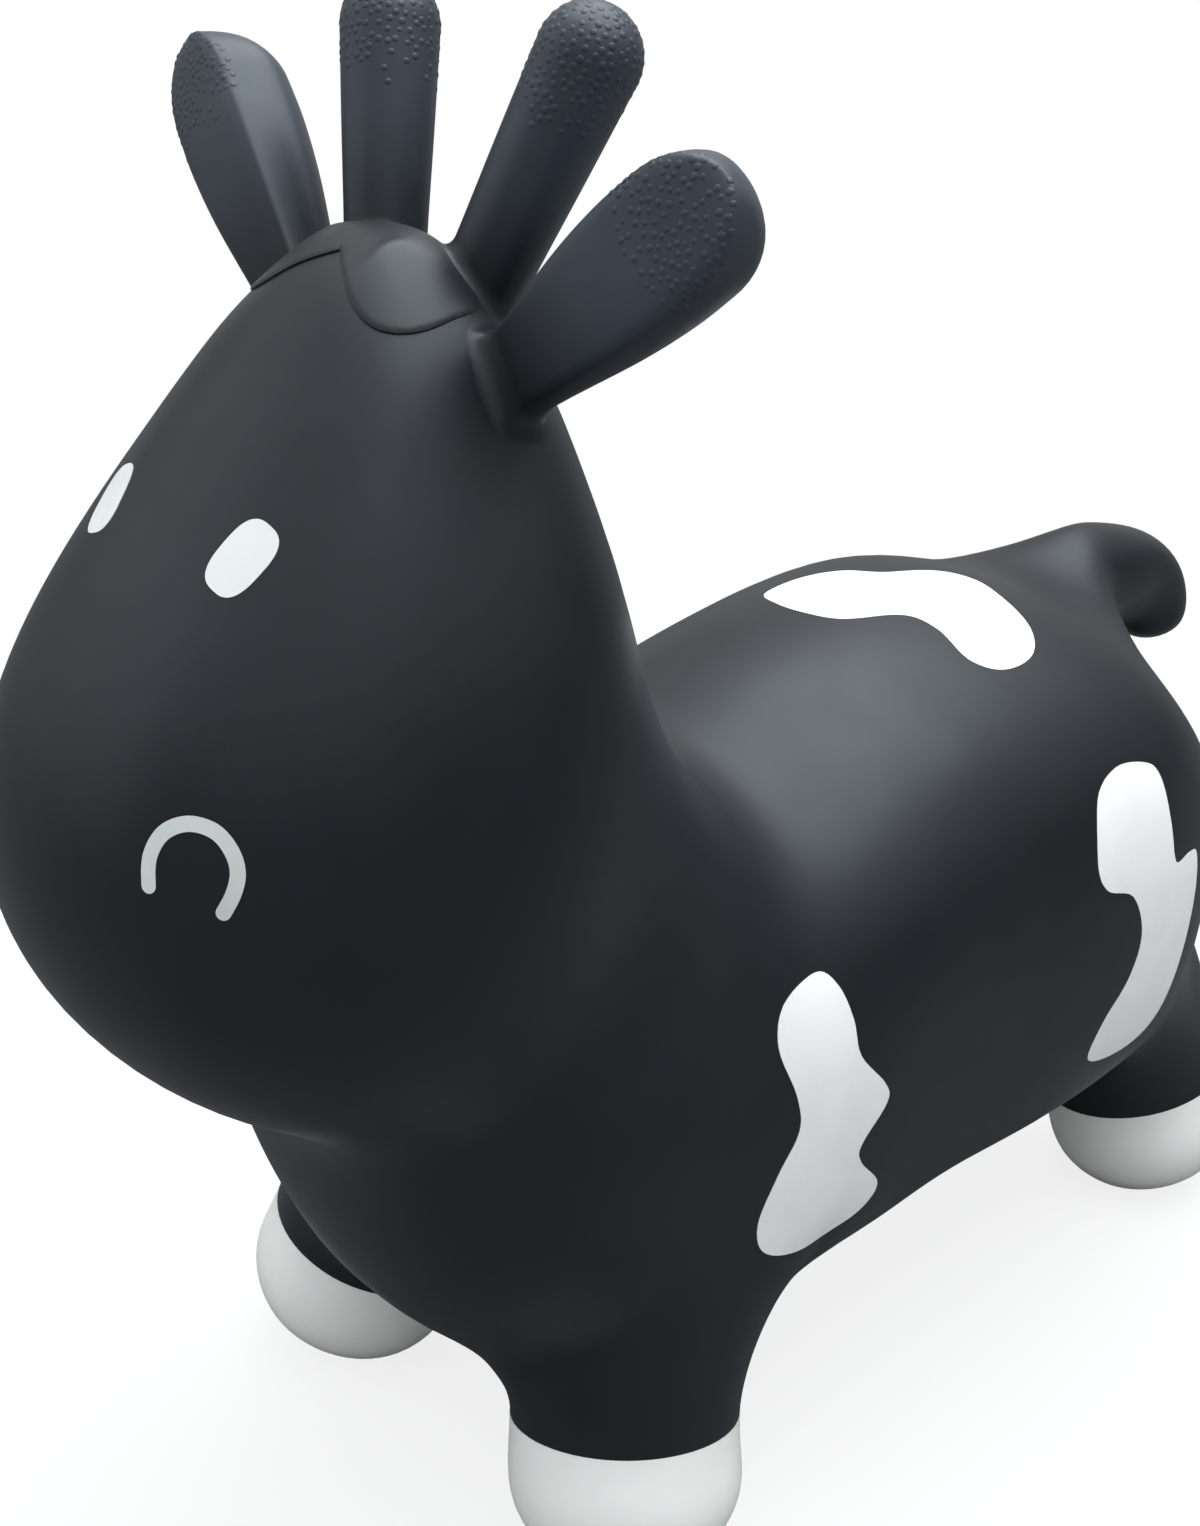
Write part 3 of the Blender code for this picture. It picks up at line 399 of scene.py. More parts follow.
def scaled(shares, width, length):
    """An outline's points from its shares and its size."""
    return [(across * width, along * length) for across, along in shares]


def oval(width, height):
    """The outline of a slightly squared oval."""
    count = CURVE_STEPS * CAP_STEPS
    power = 2 / EYE_SQUARENESS
    angles = [2 * math.pi * step / count for step in range(count)]
    return [Vector((signed_power(math.cos(angle), power) * width / 2,
                    signed_power(math.sin(angle), power) * height / 2)) for angle in angles]


def stroke(path, width):
    """The outline of a round-ended stroke along a path."""
    spots = curve_through(path, CURVE_STEPS, closed=False)
    ways = [(after - before).normalized() for before, after in
            zip(spots[:1] + spots[:-1], spots[1:] + spots[-1:])]
    half = width / 2
    sides = [Vector((-way.y, way.x)) * half for way in ways]
    left = [spot + side for spot, side in zip(spots, sides)]
    right = [spot - side for spot, side in zip(spots, sides)]

    def cap(centre, start):
        turns = [-math.pi * step / CAP_STEPS for step in range(1, CAP_STEPS)]
        return [centre + Matrix.Rotation(turn, 2) @ start for turn in turns]

    return left + cap(spots[-1], sides[-1]) + right[::-1] + cap(spots[0], -sides[0])


def turned_frame(origin, axis, towards):
    """A place whose Z runs along axis and whose X points towards a direction."""
    axis = axis.normalized()
    across = (towards - axis * axis.dot(towards)).normalized()
    turn = Matrix((across, axis.cross(across), axis)).transposed().to_4x4()
    return Matrix.Translation(origin) @ turn


def mark_frame(place_shares, facing, upright):
    """A frame on the skin whose Z points out of it and whose Y points up the mark."""
    facing = Vector(facing).normalized()
    return turned_frame(shared_place(place_shares), facing, Vector(upright).cross(facing))


# Meshes and objects

def fresh_object(name, data):
    """A new object in the scene, in place of an older one of its name."""
    older = bpy.data.objects.get(name)
    if older is not None:
        bpy.data.objects.remove(older, do_unlink=True)
    thing = bpy.data.objects.new(name, data)
    bpy.context.scene.collection.objects.link(thing)
    return thing


def finished_object(name, mesh, finish):
    """A mesh in the scene under a name, with one finish."""
    mesh.name = name
    mesh.materials.clear()
    mesh.materials.append(finish)
    return fresh_object(name, mesh)


def add_piece(name, mesh, finish, *nodes, soft=False):
    """Adds a piece that stands for CAD nodes, and hides those nodes.

    A soft piece keeps its place in the world, and another one rides on the body."""
    piece = finished_object(name, mesh, finish)
    if soft:
        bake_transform(piece)
    else:
        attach(piece, "body")
    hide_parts(*nodes)


def mesh_from(builder, outward=True):
    """A smooth-shaded mesh from a bmesh, with its faces pointing out."""
    if outward:
        bmesh.ops.recalc_face_normals(builder, faces=builder.faces)
    mesh = bpy.data.meshes.new("form")
    builder.to_mesh(mesh)
    builder.free()
    mesh.shade_smooth()
    return mesh


def worked(mesh, kind, settings, inputs=()):
    """A new mesh made from a mesh by a modifier. A node group's inputs go by their identifiers."""
    thing = fresh_object("work", mesh)
    modifier = thing.modifiers.new("Work", kind)
    for key, value in settings.items():
        setattr(modifier, key, value)
    for identifier, value in dict(inputs).items():
        modifier[identifier] = value
    graph = bpy.context.evaluated_depsgraph_get()
    result = bpy.data.meshes.new_from_object(thing.evaluated_get(graph), depsgraph=graph)
    bpy.data.objects.remove(thing, do_unlink=True)
    return result


def mirrored(mesh):
    """The same form on the animal's other side."""
    other = mesh.copy()
    other.transform(Matrix.Scale(-1, 4, (1, 0, 0)))
    other.flip_normals()
    return other


def join_rings(builder, upper, lower, closed=True):
    """Joins two rings or two open lines of points with a band of faces."""
    for step in range(len(upper) if closed else len(upper) - 1):
        other = (step + 1) % len(upper)
        builder.faces.new((upper[step], upper[other], lower[other], lower[step]))


# The moulded skin

def section_ring(row):
    """One half section of the skin, from its top point down the +X side to its bottom point."""
    top = body_point(0, row[0], row[1])
    bottom = body_point(0, row[2], row[3])
    half_width = row[4] * BODY_WIDTH / 2
    points = []
    for step in range(SECTION_POINTS):
        angle = math.pi * step / (SECTION_POINTS - 1)
        lower = angle > math.pi / 2
        power = 2 / (SECTION_SQUARENESS + (row[5] if lower else 0))
        out = signed_power(math.sin(angle), power)
        down = (1 - signed_power(math.cos(angle), power)) / 2
        if step in (0, SECTION_POINTS - 1):
            out = 0
        points.append(top.lerp(bottom, down) + Vector((half_width * out, 0, 0)))
    return points


def leg_axis(front):
    """The unit direction of a left leg from its hoof up to the body."""
    along = math.tan(LEG_SPLAY_ALONG) * (1 if front else -1)
    return Vector((-math.tan(LEG_SPLAY_OUT), along, 1)).normalized()


def hoof_centre(front):
    """The centre of a left hoof's ball, above its sole in the frame."""
    return (FRONT_SOLE if front else REAR_SOLE) + Vector((0, 0, HOOF_RADIUS - SOLE_CUT))


def add_leg(cage, rings, first, front):
    """Draws a left leg out of the underside of the sections that start at first."""
    axis = leg_axis(front)
    centre = hoof_centre(front)
    outward = (Vector((1, 0, 0)) - axis * axis.x).normalized()
    rearward = axis.cross(outward)
    outer, middle, inner = LEG_COLUMN, LEG_COLUMN + 1, LEG_COLUMN + 2
    rear, mid, fore = first, first + 1, first + 2
    for station, share in zip((rear, mid, fore), LEG_INNER):
        inward = Vector((1, 0, LEG_INNER_RISE_SHARE)) * share * HOOF_RADIUS
        rings[station][inner].co = rings[station][-1].co + inward
    loop = [(mid, outer), (rear, outer), (rear, middle), (rear, inner),
            (mid, inner), (fore, inner), (fore, middle), (fore, outer)]
    upper = [rings[station][column] for station, column in loop]
    bmesh.ops.delete(cage, geom=[rings[mid][middle]], context="VERTS")
    for number, (height_share, radius_share) in enumerate(LEG_RINGS):
        lower = []
        for step in range(len(loop)):
            angle = 2 * math.pi * step / len(loop)
            spoke = outward * math.cos(angle) + rearward * math.sin(angle)
            spot = centre + axis * height_share * HOOF_RADIUS + spoke * radius_share * HOOF_RADIUS
            lower.append(cage.verts.new(spot))
        if number == 0:
            down, inward = LEG_FLARE
            flare = []
            for above, below in zip(upper, lower):
                way = below.co - above.co
                drop = axis * way.dot(axis)
                flare.append(cage.verts.new(above.co + drop * down + (way - drop) * inward))
            join_rings(cage, upper, flare)
            upper = flare
        join_rings(cage, upper, lower)
        upper = lower
    tip = cage.verts.new(centre + axis * LEG_END_SHARE * HOOF_RADIUS)
    for step in range(0, len(upper), 2):
        cage.faces.new((upper[step], upper[step + 1], upper[(step + 2) % len(upper)], tip))


def add_tail(cage, rings):
    """Draws the curled tail out of the top of the rump."""
    upper = [rings[2][0], rings[2][1], rings[1][1], rings[0][1], rings[0][0]]
    bmesh.ops.delete(cage, geom=[rings[1][0]], context="VERTS")
    root = body_point(0, *TAIL_ROOT)
    places = [body_point(0, along, height) for along, height, _ in TAIL_RINGS]
    end = body_point(0, *TAIL_END)
    for index, place in enumerate(places):
        before = places[index - 1] if index else root
        after = places[index + 1] if index + 1 < len(places) else end
        crest = Vector((1, 0, 0)).cross((after - before).normalized())
        radius = TAIL_RINGS[index][2] * TAIL_RADIUS
        lower = []
        for step in range(TAIL_HALF_SIDES + 1):
            angle = math.pi * step / TAIL_HALF_SIDES
            out = math.sin(angle) if 0 < step < TAIL_HALF_SIDES else 0
            spot = place + Vector((radius * out, 0, 0)) + crest * radius * math.cos(angle)
            lower.append(cage.verts.new(spot))
        join_rings(cage, upper, lower, closed=False)
        upper = lower
    tip = cage.verts.new(end)
    cage.faces.new((upper[0], upper[1], upper[2], tip))
    cage.faces.new((upper[2], upper[3], upper[4], tip))


def half_cage():
    """The left half of the skin's cage, open at the plane of symmetry."""
    cage = bmesh.new()
    rings = [[cage.verts.new(point) for point in section_ring(row)] for row in SECTIONS]
    for rear, fore in zip(rings, rings[1:]):
        join_rings(cage, rear, fore, closed=False)
    half = SECTION_POINTS // 2
    for ring in (rings[0], rings[-1]):
        join_rings(cage, ring[:half], ring[:half - 1:-1], closed=False)
    add_leg(cage, rings, REAR_LEG_SECTION, front=False)
    add_leg(cage, rings, FRONT_LEG_SECTION, front=True)
    add_tail(cage, rings)
    return cage


def smooth_place(vertex):
    """Where a cage point ends up on the subdivided surface."""
    count = len(vertex.link_edges)
    edge_sum = sum((edge.other_vert(vertex).co for edge in vertex.link_edges), Vector())
    face_sum = sum((loop.link_loop_next.link_loop_next.vert.co for loop in vertex.link_loops), Vector())
    return (vertex.co * count * count + edge_sum * 4 + face_sum) / (count * (count + 5))


def settle(mesh, rounds=3):
    """Moves a cage outwards until the smooth surface passes where the cage was drawn."""
    cage = bmesh.new()
    cage.from_mesh(mesh)
    goals = [vertex.co.copy() for vertex in cage.verts]
    for _ in range(rounds):
        steps = [goal - smooth_place(vertex) for vertex, goal in zip(cage.verts, goals)]
        for vertex, step in zip(cage.verts, steps):
            vertex.co += step
    cage.to_mesh(mesh)
    cage.free()


def ease(mesh, place, reach, rounds):
    """Rounds the ridges near a place on the plane of symmetry, fading to nothing around it."""
    form = bmesh.new()
    form.from_mesh(mesh)
    centre = body_point(0, *place)
    near = [(vertex, 1 - smoothstep(0.4, 1, (vertex.co - centre).length / reach))
            for vertex in form.verts if (vertex.co - centre).length < reach]
    for _ in range(rounds):
        goals = []
        for vertex, weight in near:
            ring = [edge.other_vert(vertex).co for edge in vertex.link_edges]
            goals.append(vertex.co.lerp(sum(ring, Vector()) / len(ring), weight / 2))
        for (vertex, _), goal in zip(near, goals):
            vertex.co = goal
    form.to_mesh(mesh)
    form.free()


def smooth_skin():
    """The whole moulded skin, subdivided, standing on flat soles."""
    level = sizes().skin_level
    cage = worked(mesh_from(half_cage()), "MIRROR", {"merge_threshold": SEAM_MERGE, "use_clip": True})
    settle(cage)
    skin = worked(cage, "SUBSURF", {"levels": level, "render_levels": level})
    for vertex in skin.vertices:
        vertex.co.z = max(vertex.co.z, 0)
    for eased in EASED_PLACES:
        ease(skin, *eased)
    skin.shade_smooth()
    return skin


def skin_tree():
    """A search tree of the skin that is in the scene."""
    mesh = bpy.data.objects["skin"].data
    return BVHTree.FromPolygons([vertex.co for vertex in mesh.vertices],
                                [polygon.vertices for polygon in mesh.polygons])


def painted_hoof(front):
    """The paint of a left hoof: a thin film on the skin, up to a level line round the leg."""
    axis, centre, lift = leg_axis(front), hoof_centre(front), sizes().paint_thickness
    paint = bmesh.new()
    paint.from_mesh(bpy.data.objects["skin"].data)
    far = [vertex for vertex in paint.verts
           if (vertex.co - centre).length > HOOF_RADIUS * HOOF_REACH_SHARE]
    bmesh.ops.delete(paint, geom=far, context="VERTS")
    bmesh.ops.bisect_plane(paint, geom=paint.verts[:] + paint.edges[:] + paint.faces[:],
                           plane_co=centre + axis * HOOF_LINE_RISE, plane_no=axis, clear_outer=True)
    paint.normal_update()
    for vertex in paint.verts:
        vertex.co += vertex.normal * lift
        vertex.co.z = max(vertex.co.z, 0)
    film = worked(mesh_from(paint, outward=False), "SOLIDIFY",
                  {"thickness": lift + UNDER_SKIN, "offset": -1})
    film.shade_smooth()
    film.set_sharp_from_angle(angle=SHARP_ANGLE)
    return film


# Pieces laid on the skin

def inside_outline(spot, outline):
    """Whether a flat point lies inside a closed outline."""
    inside = False
    for start, end in zip(outline, outline[1:] + outline[:1]):
        if (start.y > spot.y) != (end.y > spot.y):
            if spot.x < start.x + (end.x - start.x) * (spot.y - start.y) / (end.y - start.y):
                inside = not inside
    return inside


def edge_distance(spot, outline):
    """How far a flat point lies from a closed outline."""
    least = math.inf
    for start, end in zip(outline, outline[1:] + outline[:1]):
        way = end - start
        share = min(1, max(0, (spot - start).dot(way) / max(way.length_squared, 1e-12)))
        least = min(least, (spot - start - way * share).length)
    return least


def laid_on(tree, outline, frame_on, height_at, spacing):
    """A closed sheet laid on the skin inside an outline, standing out by a height at each place."""
    low = Vector((min(spot.x for spot in outline), min(spot.y for spot in outline)))
    high = Vector((max(spot.x for spot in outline), max(spot.y for spot in outline)))
    spots = list(outline)
    heights = [height_at(0, spot) for spot in spots]
    row_step = spacing * math.sqrt(0.75)
    for row in range(int((high.y - low.y) / row_step) + 1):
        y = low.y + row * row_step
        x = low.x + (spacing / 2 if row % 2 else 0)
        while x < high.x:
            spot = Vector((x, y))
            if inside_outline(spot, outline):
                away = edge_distance(spot, outline)
                if away > spacing / 2:
                    spots.append(spot)
                    heights.append(height_at(away, spot))
            x += spacing
    count = len(outline)
    rim = [(index, (index + 1) % count) for index in range(count)]
    flat, _, faces, *_ = delaunay_2d_cdt(spots, rim, [list(range(count))], 1, 1e-7)
    if len(flat) != len(spots):
        raise RuntimeError("the outline crosses itself")
    axis = (frame_on.to_3x3() @ Vector((0, 0, 1))).normalized()
    sheet = bmesh.new()
    tops, feet = [], []
    for spot, height in zip(flat, heights):
        start = frame_on @ Vector((spot.x, spot.y, REACH))
        place, normal, _, _ = tree.ray_cast(start, -axis)
        if place is None:
            raise RuntimeError("the outline runs off the skin")
        tops.append(sheet.verts.new(place + normal * height))
        feet.append(sheet.verts.new(place - normal * UNDER_SKIN))
    for face in faces:
        sheet.faces.new([tops[index] for index in face])
        sheet.faces.new([feet[index] for index in reversed(face)])
    for start, end in rim:
        sheet.faces.new((tops[end], tops[start], feet[start], feet[end]))
    mesh = mesh_from(sheet)
    mesh.set_sharp_from_angle(angle=SHARP_ANGLE)
    return mesh


# Nodes and finishes

def set_inputs(tree, node, values):
    """Gives each input of a node its value, or a link from an output or from a node's first one."""
    for key, value in dict(values).items():
        if isinstance(value, bpy.types.Node):
            value = next(output for output in value.outputs if output.enabled)
        if isinstance(value, bpy.types.NodeSocket):
            tree.links.new(value, node.inputs[key])
        else:
            node.inputs[key].default_value = value


def add_node(tree, kind, label, settings=(), values=()):
    """A node with a label, its settings and its inputs."""
    node = tree.nodes.new(kind)
    node.label = label
    for key, value in dict(settings).items():
        setattr(node, key, value)
    set_inputs(tree, node, values)
    return node


def calculated(tree, label, operation, first, second, kind="ShaderNodeMath"):
    """Two values put together."""
    return add_node(tree, kind, label, {"operation": operation}, {0: first, 1: second})


def ramped(tree, label, value, start, end, low=0.0, high=1.0, curve="LINEAR"):
    """A value spread from one range to another."""
    return add_node(tree, "ShaderNodeMapRange", label, {"interpolation_type": curve}, {
        "Value": value, "From Min": start, "From Max": end, "To Min": low, "To Max": high})


def mixed(tree, label, share, first, second, kind="RGBA"):
    """Two colours or values mixed."""
    return add_node(tree, "ShaderNodeMix", label, {"data_type": kind},
                    {"Factor": share, "A": first, "B": second})


def rgba(colour, share=1):
    """A share of a colour, with full opacity."""
    return (*(part * share for part in colour), 1)


def object_place(tree):
    """Places in the object's own space."""
    return add_node(tree, "ShaderNodeTexCoord", "Place").outputs["Object"]


def noise(tree, label, scale, detail, roughness):
    """A noise in object space."""
    return add_node(tree, "ShaderNodeTexNoise", label, values={
        "Vector": object_place(tree), "Scale": scale, "Detail": detail, "Roughness": roughness})


def tinted_noise(tree, label, scale, low_colour, high_colour, start=0.35, end=0.65):
    """Two colours mixed by a soft noise."""
    share = ramped(tree, label + " spread", noise(tree, label, scale, 4, 0.55), start, end)
    return mixed(tree, label + " tint", share, low_colour, high_colour)


def noisy_value(tree, label, scale, low, high):
    """A value that drifts between two bounds."""
    return ramped(tree, label + " spread", noise(tree, label, scale, 3, 0.5), 0.3, 0.7, low, high)


def grain(tree, label, scale, strength, depth, under=()):
    """A fine bump, on top of another one that may be given as the Normal."""
    height = noise(tree, label, scale, 3, 0.6)
    return add_node(tree, "ShaderNodeBump", label + " bump", values={
        "Height": height, "Strength": strength, "Distance": depth, **dict(under)})


def new_finish(name):
    """An empty node material. Gives it, its tree, its Principled shader and its output."""
    finish = bpy.data.materials.get(name) or bpy.data.materials.new(name)
    finish.use_nodes = True
    tree = finish.node_tree
    tree.nodes.clear()
    shader = add_node(tree, "ShaderNodeBsdfPrincipled", "Surface")
    output = add_node(tree, "ShaderNodeOutputMaterial", "Finish", values={"Surface": shader})
    return finish, tree, shader, output


def vinyl_finish(name="matt_vinyl", painted_lit=False):
    """Matt blue-black soft vinyl, faintly bloomed, with the grain of the mould.

    A piece with painted light is given a paler colour for the light that horns and ears catch, except
    where its plain skin share keeps the skin's own tone at its foot."""
    finish, tree, shader, _ = new_finish(name)
    low, high = colours().skin, colours().skin_bloom
    tone = tinted_noise(tree, "Bloom", 14, rgba(low), rgba(high))
    if painted_lit:
        # Painted light: the horns and ears get a paler copy of the skin's colour, standing for the
        # light that they catch
        paler = tinted_noise(tree, "Painted light", 14, rgba(low, GRIP_PAINTED_LIGHT_FACTOR), rgba(high, GRIP_PAINTED_LIGHT_FACTOR))
        plain_skin = add_node(tree, "ShaderNodeAttribute", "Plain skin foot",
                            {"attribute_name": "plain_skin_share"})
        tone = mixed(tree, "Foot to grip", plain_skin.outputs["Fac"], paler, tone)
    waves = grain(tree, "Soft wall", 16, strength=0.10, depth=0.0012)
    set_inputs(tree, shader, {
        "Base Color": tone,
        "Roughness": noisy_value(tree, "Handling", 22, low=0.38, high=0.46),
        "Normal": grain(tree, "Mould grain", MOULD_GRAIN_SCALE, 0.22, 0.00012, {"Normal": waves}),
        "IOR": 1.5,
        "Specular IOR Level": 0.52,
        "Specular Tint": (0.84, 0.93, 1.0, 1),
        "Sheen Weight": 0.02,
        "Sheen Roughness": 0.45,
        "Sheen Tint": (0.75, 0.84, 1.0, 1),
    })
    return finish


def paint_finish(name, colour, shade, roughness):
    """Opaque paint, a little uneven in tone and gloss, with the skin's grain under it."""
    finish, tree, shader, _ = new_finish(name)
    set_inputs(tree, shader, {
        "Base Color": tinted_noise(tree, "Cover", 45, rgba(colour, shade), rgba(colour), 0.30, 0.55),
        "Roughness": noisy_value(tree, "Gloss", 60, roughness - 0.04, roughness + 0.06),
        "Normal": grain(tree, "Mould grain", MOULD_GRAIN_SCALE, strength=0.16, depth=0.00010),
        "Specular IOR Level": 0.4,
    })
    return finish


def hoof_finish():
    """Warm white vinyl paint with a little depth, greyer near the floor as painted shade."""
    finish, tree, shader, _ = new_finish("hoof_paint")
    tone = colours().hoof
    split = add_node(tree, "ShaderNodeSeparateXYZ", "Height", values={"Vector": object_place(tree)})
    # Painted shade: the hoof paint is darker within a little of the floor, where shade falls
    unshaded = ramped(tree, "Unshaded above the floor", split.outputs["Z"], 0.0, 0.016, curve="SMOOTHSTEP")
    cover = tinted_noise(tree, "Cover", 30, rgba(tone, 0.95), rgba(tone))
    set_inputs(tree, shader, {
        "Base Color": mixed(tree, "Painted shade near the floor", unshaded, rgba(tone, 0.80), cover),
        "Roughness": noisy_value(tree, "Gloss", 50, low=0.36, high=0.46),
        "Normal": grain(tree, "Mould grain", MOULD_GRAIN_SCALE, strength=0.14, depth=0.00010),
        "Subsurface Weight": 0.12,
        "Subsurface Radius": (1.0, 0.8, 0.6),
        "Subsurface Scale": 0.004,
    })
    return finish


def plug_finish():
    """Smooth white stopper plastic."""
    finish, tree, shader, _ = new_finish("plug_plastic")
    tone = colours().plug
    set_inputs(tree, shader, {
        "Base Color": tinted_noise(tree, "Tone", 200, rgba(tone, 0.94), rgba(tone)),
        "Roughness": noisy_value(tree, "Gloss", 150, low=0.30, high=0.38),
        "Normal": grain(tree, "Moulding", 900, strength=0.10, depth=0.00008),
    })
    return finish


# Horns and ears

def profile_at(table, place):
    """A share from a table of places and shares, on a smooth curve through its rows."""
    spots = curve_through(table, CURVE_STEPS, closed=False)
    for start, end in zip(spots, spots[1:]):
        if place <= end.x:
            return start.y + (end.y - start.y) * (place - start.x) / (end.x - start.x)
    return spots[-1].y


def finger_rings(root, axis, length, radius, widths, half_section, end):
    """A horn's or an ear's rings of points from its root to its round end, each with its place.

    Gives each point's share to the front too, and last of all the end's pole."""
    end_share, tip_shift, back_taper = end
    ridge = (Vector((0, -1, 0)) + axis * axis.y).normalized()
    across = axis.cross(ridge)
    corners = half_section + [(front, -side) for front, side in half_section[-2:0:-1]]
    section = curve_through(corners, SECTION_STEPS)
    stations = []
    for step in range(FINGER_RINGS):
        place = FINGER_START + (1 - FINGER_START) * step / FINGER_RINGS
        stations.append((place * length, profile_at(widths, place), 1, place))
    for step in range(FINGER_END_RINGS):
        turn = math.pi / 2 * step / FINGER_END_RINGS
        reach = length + math.sin(turn) * radius * end_share
        stations.append((reach, widths[-1][1], math.cos(turn), 1))
    rings = []
    for reach, width, shrink, place in stations:
        ring = []
        for spot in section:
            depth = 1 - back_taper * place * place if spot.x < 0 else 1
            front = spot.x * shrink * depth + tip_shift * (1 - shrink)
            way = ridge * front + across * spot.y * shrink
            ring.append(root + axis * reach + way * width * radius)
        rings.append((ring, place))
    pole = root + axis * (length + radius * end_share) + ridge * tip_shift * widths[-1][1] * radius
    return rings, [spot.x for spot in section], pole


def finger_foot(tree, line, root, axis, fillet):
    """Where a line up a horn or an ear leaves the skin and where its fillet lands on it.

    Gives the number of the first of the line's points that is clear of the fillet too."""
    for index in range(len(line) - 2, -1, -1):
        way = line[index] - line[index + 1]
        hit, normal, _, _ = tree.ray_cast(line[index + 1], way.normalized(), way.length)
        if hit is not None:
            break
    else:
        raise RuntimeError("a horn or ear doesn't reach the head")
    centre = root + axis * axis.dot(hit - root)
    out = hit - centre
    out = (out - normal * normal.dot(out)).normalized()
    landing, landing_normal, _, _ = tree.find_nearest(hit + out * fillet)
    clear, travelled = index + 1, (line[index + 1] - hit).length
    while travelled < fillet:
        travelled += (line[clear + 1] - line[clear]).length
        clear += 1
    return hit, landing - landing_normal * LANDING_SINK, clear


def finger_mesh(tree, root, tip, radius, widths, half_section, end, fillet, grip_at):
    """A horn or an ear with a round end and a fillet that runs out on the head.

    Each point keeps a grip share, how closely the pebbles stand there, and a plain skin share, how much
    of the skin's own tone it keeps under the painted light."""
    axis = (tip - root).normalized()
    length = (tip - root).length - (end[0] - 1) * radius
    rings, fronts, pole = finger_rings(root, axis, length, radius, widths, half_section, end)
    feet = [finger_foot(tree, line, root, axis, fillet) for line in zip(*(ring for ring, _ in rings))]
    first = max(clear for _, _, clear in feet)
    form = bmesh.new()
    grip = form.verts.layers.float.new("grip_share")
    plain_skin = form.verts.layers.float.new("plain_skin_share")

    def add_point(spot, grip_share, plain_skin_share):
        point = form.verts.new(spot)
        point[grip], point[plain_skin] = grip_share, plain_skin_share
        return point

    built = []
    for step in range(FILLET_RINGS + 1):
        share = 1 - step / FILLET_RINGS
        ring = []
        for (foot, landing, _), side in zip(feet, rings[first][0]):
            near = foot + (side - foot).normalized() * min(fillet, (side - foot).length)
            spot = landing * share ** 2 + foot * 2 * share * (1 - share) + near * (1 - share) ** 2
            ring.append(add_point(spot, 0, 1))
        built.append(ring)
    for ring, place in rings[first:]:
        # The painted light on the grip fades out towards the foot, where the skin's own tone is kept
        foot_share = 1 - smoothstep(*GRIP_PAINTED_LIGHT_SPAN, place)
        built.append([add_point(spot, grip_at(place, front), foot_share)
                      for spot, front in zip(ring, fronts)])
    for lower, upper in zip(built, built[1:]):
        join_rings(form, lower, upper)
    crown = add_point(pole, grip_at(1, 1), 0)
    for step, point in enumerate(built[-1]):
        form.faces.new((point, built[-1][(step + 1) % len(fronts)], crown))
    return mesh_from(form, outward=False)


def pebble_tree():
    """Geometry nodes that stand pebbles on a surface wherever its grip share is above nothing."""
    name = "Grip pebbles"
    older = bpy.data.node_groups.get(name)
    if older is not None:
        return older
    tree = bpy.data.node_groups.new(name, "GeometryNodeTree")
    sockets = (("Geometry", "Geometry"), ("Spacing", "Float"), ("Width", "Float"), ("Height", "Float"),
               ("Seed", "Int"), ("Finish", "Material"))
    for label, kind in sockets:
        socket = tree.interface.new_socket(name=label, in_out="INPUT", socket_type="NodeSocket" + kind)
        if kind == "Float":
            socket.subtype = "DISTANCE"
    tree.interface.new_socket(name="Geometry", in_out="OUTPUT", socket_type="NodeSocketGeometry")
    given = add_node(tree, "NodeGroupInput", "Given").outputs
    share = add_node(tree, "GeometryNodeInputNamedAttribute", "Grip share", {"data_type": "FLOAT"},
                     {"Name": "grip_share"})
    spots = add_node(
        tree, "GeometryNodeDistributePointsOnFaces", "Sown spots", {"distribute_method": "POISSON"},
        {"Mesh": given["Geometry"], "Distance Min": given["Spacing"], "Density Max": PEBBLE_DENSITY,
         "Density Factor": share, "Seed": given["Seed"]}).outputs
    ball = add_node(tree, "GeometryNodeMeshUVSphere", "Ball", values={
        "Segments": PEBBLE_SEGMENTS, "Rings": PEBBLE_RINGS, "Radius": 1})
    sunk = add_node(tree, "GeometryNodeTransform", "Sunk ball", values={
        "Geometry": ball, "Translation": (0, 0, -PEBBLE_SINK_SHARE)})
    half_width = calculated(tree, "Half width", "MULTIPLY", given["Width"],
                            0.5 / math.sqrt(1 - PEBBLE_SINK_SHARE ** 2))
    cap = calculated(tree, "Cap", "MULTIPLY", given["Height"], 1 / (1 - PEBBLE_SINK_SHARE))
    shape = add_node(tree, "ShaderNodeCombineXYZ", "Shape",
                     values={"X": half_width, "Y": half_width, "Z": cap})
    least, greatest = PEBBLE_SIZES
    vary = add_node(tree, "FunctionNodeRandomValue", "Uneven sizes", {"data_type": "FLOAT"},
                    {"Min": least, "Max": greatest, "Seed": given["Seed"]})
    size = add_node(tree, "ShaderNodeVectorMath", "Size", {"operation": "SCALE"},
                    {"Vector": shape, "Scale": vary})
    pebbles = add_node(tree, "GeometryNodeInstanceOnPoints", "Pebbles", values={
        "Points": spots["Points"], "Rotation": spots["Rotation"], "Instance": sunk, "Scale": size})
    join = add_node(tree, "GeometryNodeJoinGeometry", "Surface and pebbles",
                    values={"Geometry": given["Geometry"]})
    set_inputs(tree, join, {"Geometry": pebbles})
    smooth = add_node(tree, "GeometryNodeSetShadeSmooth", "Smooth", values={"Geometry": join})
    plain = add_node(tree, "GeometryNodeRealizeInstances", "Plain mesh", values={"Geometry": smooth})
    finish = add_node(tree, "GeometryNodeSetMaterial", "Finish",
                      values={"Geometry": plain, "Material": given["Finish"]})
    add_node(tree, "NodeGroupOutput", "Result", values={"Geometry": finish})
    return tree


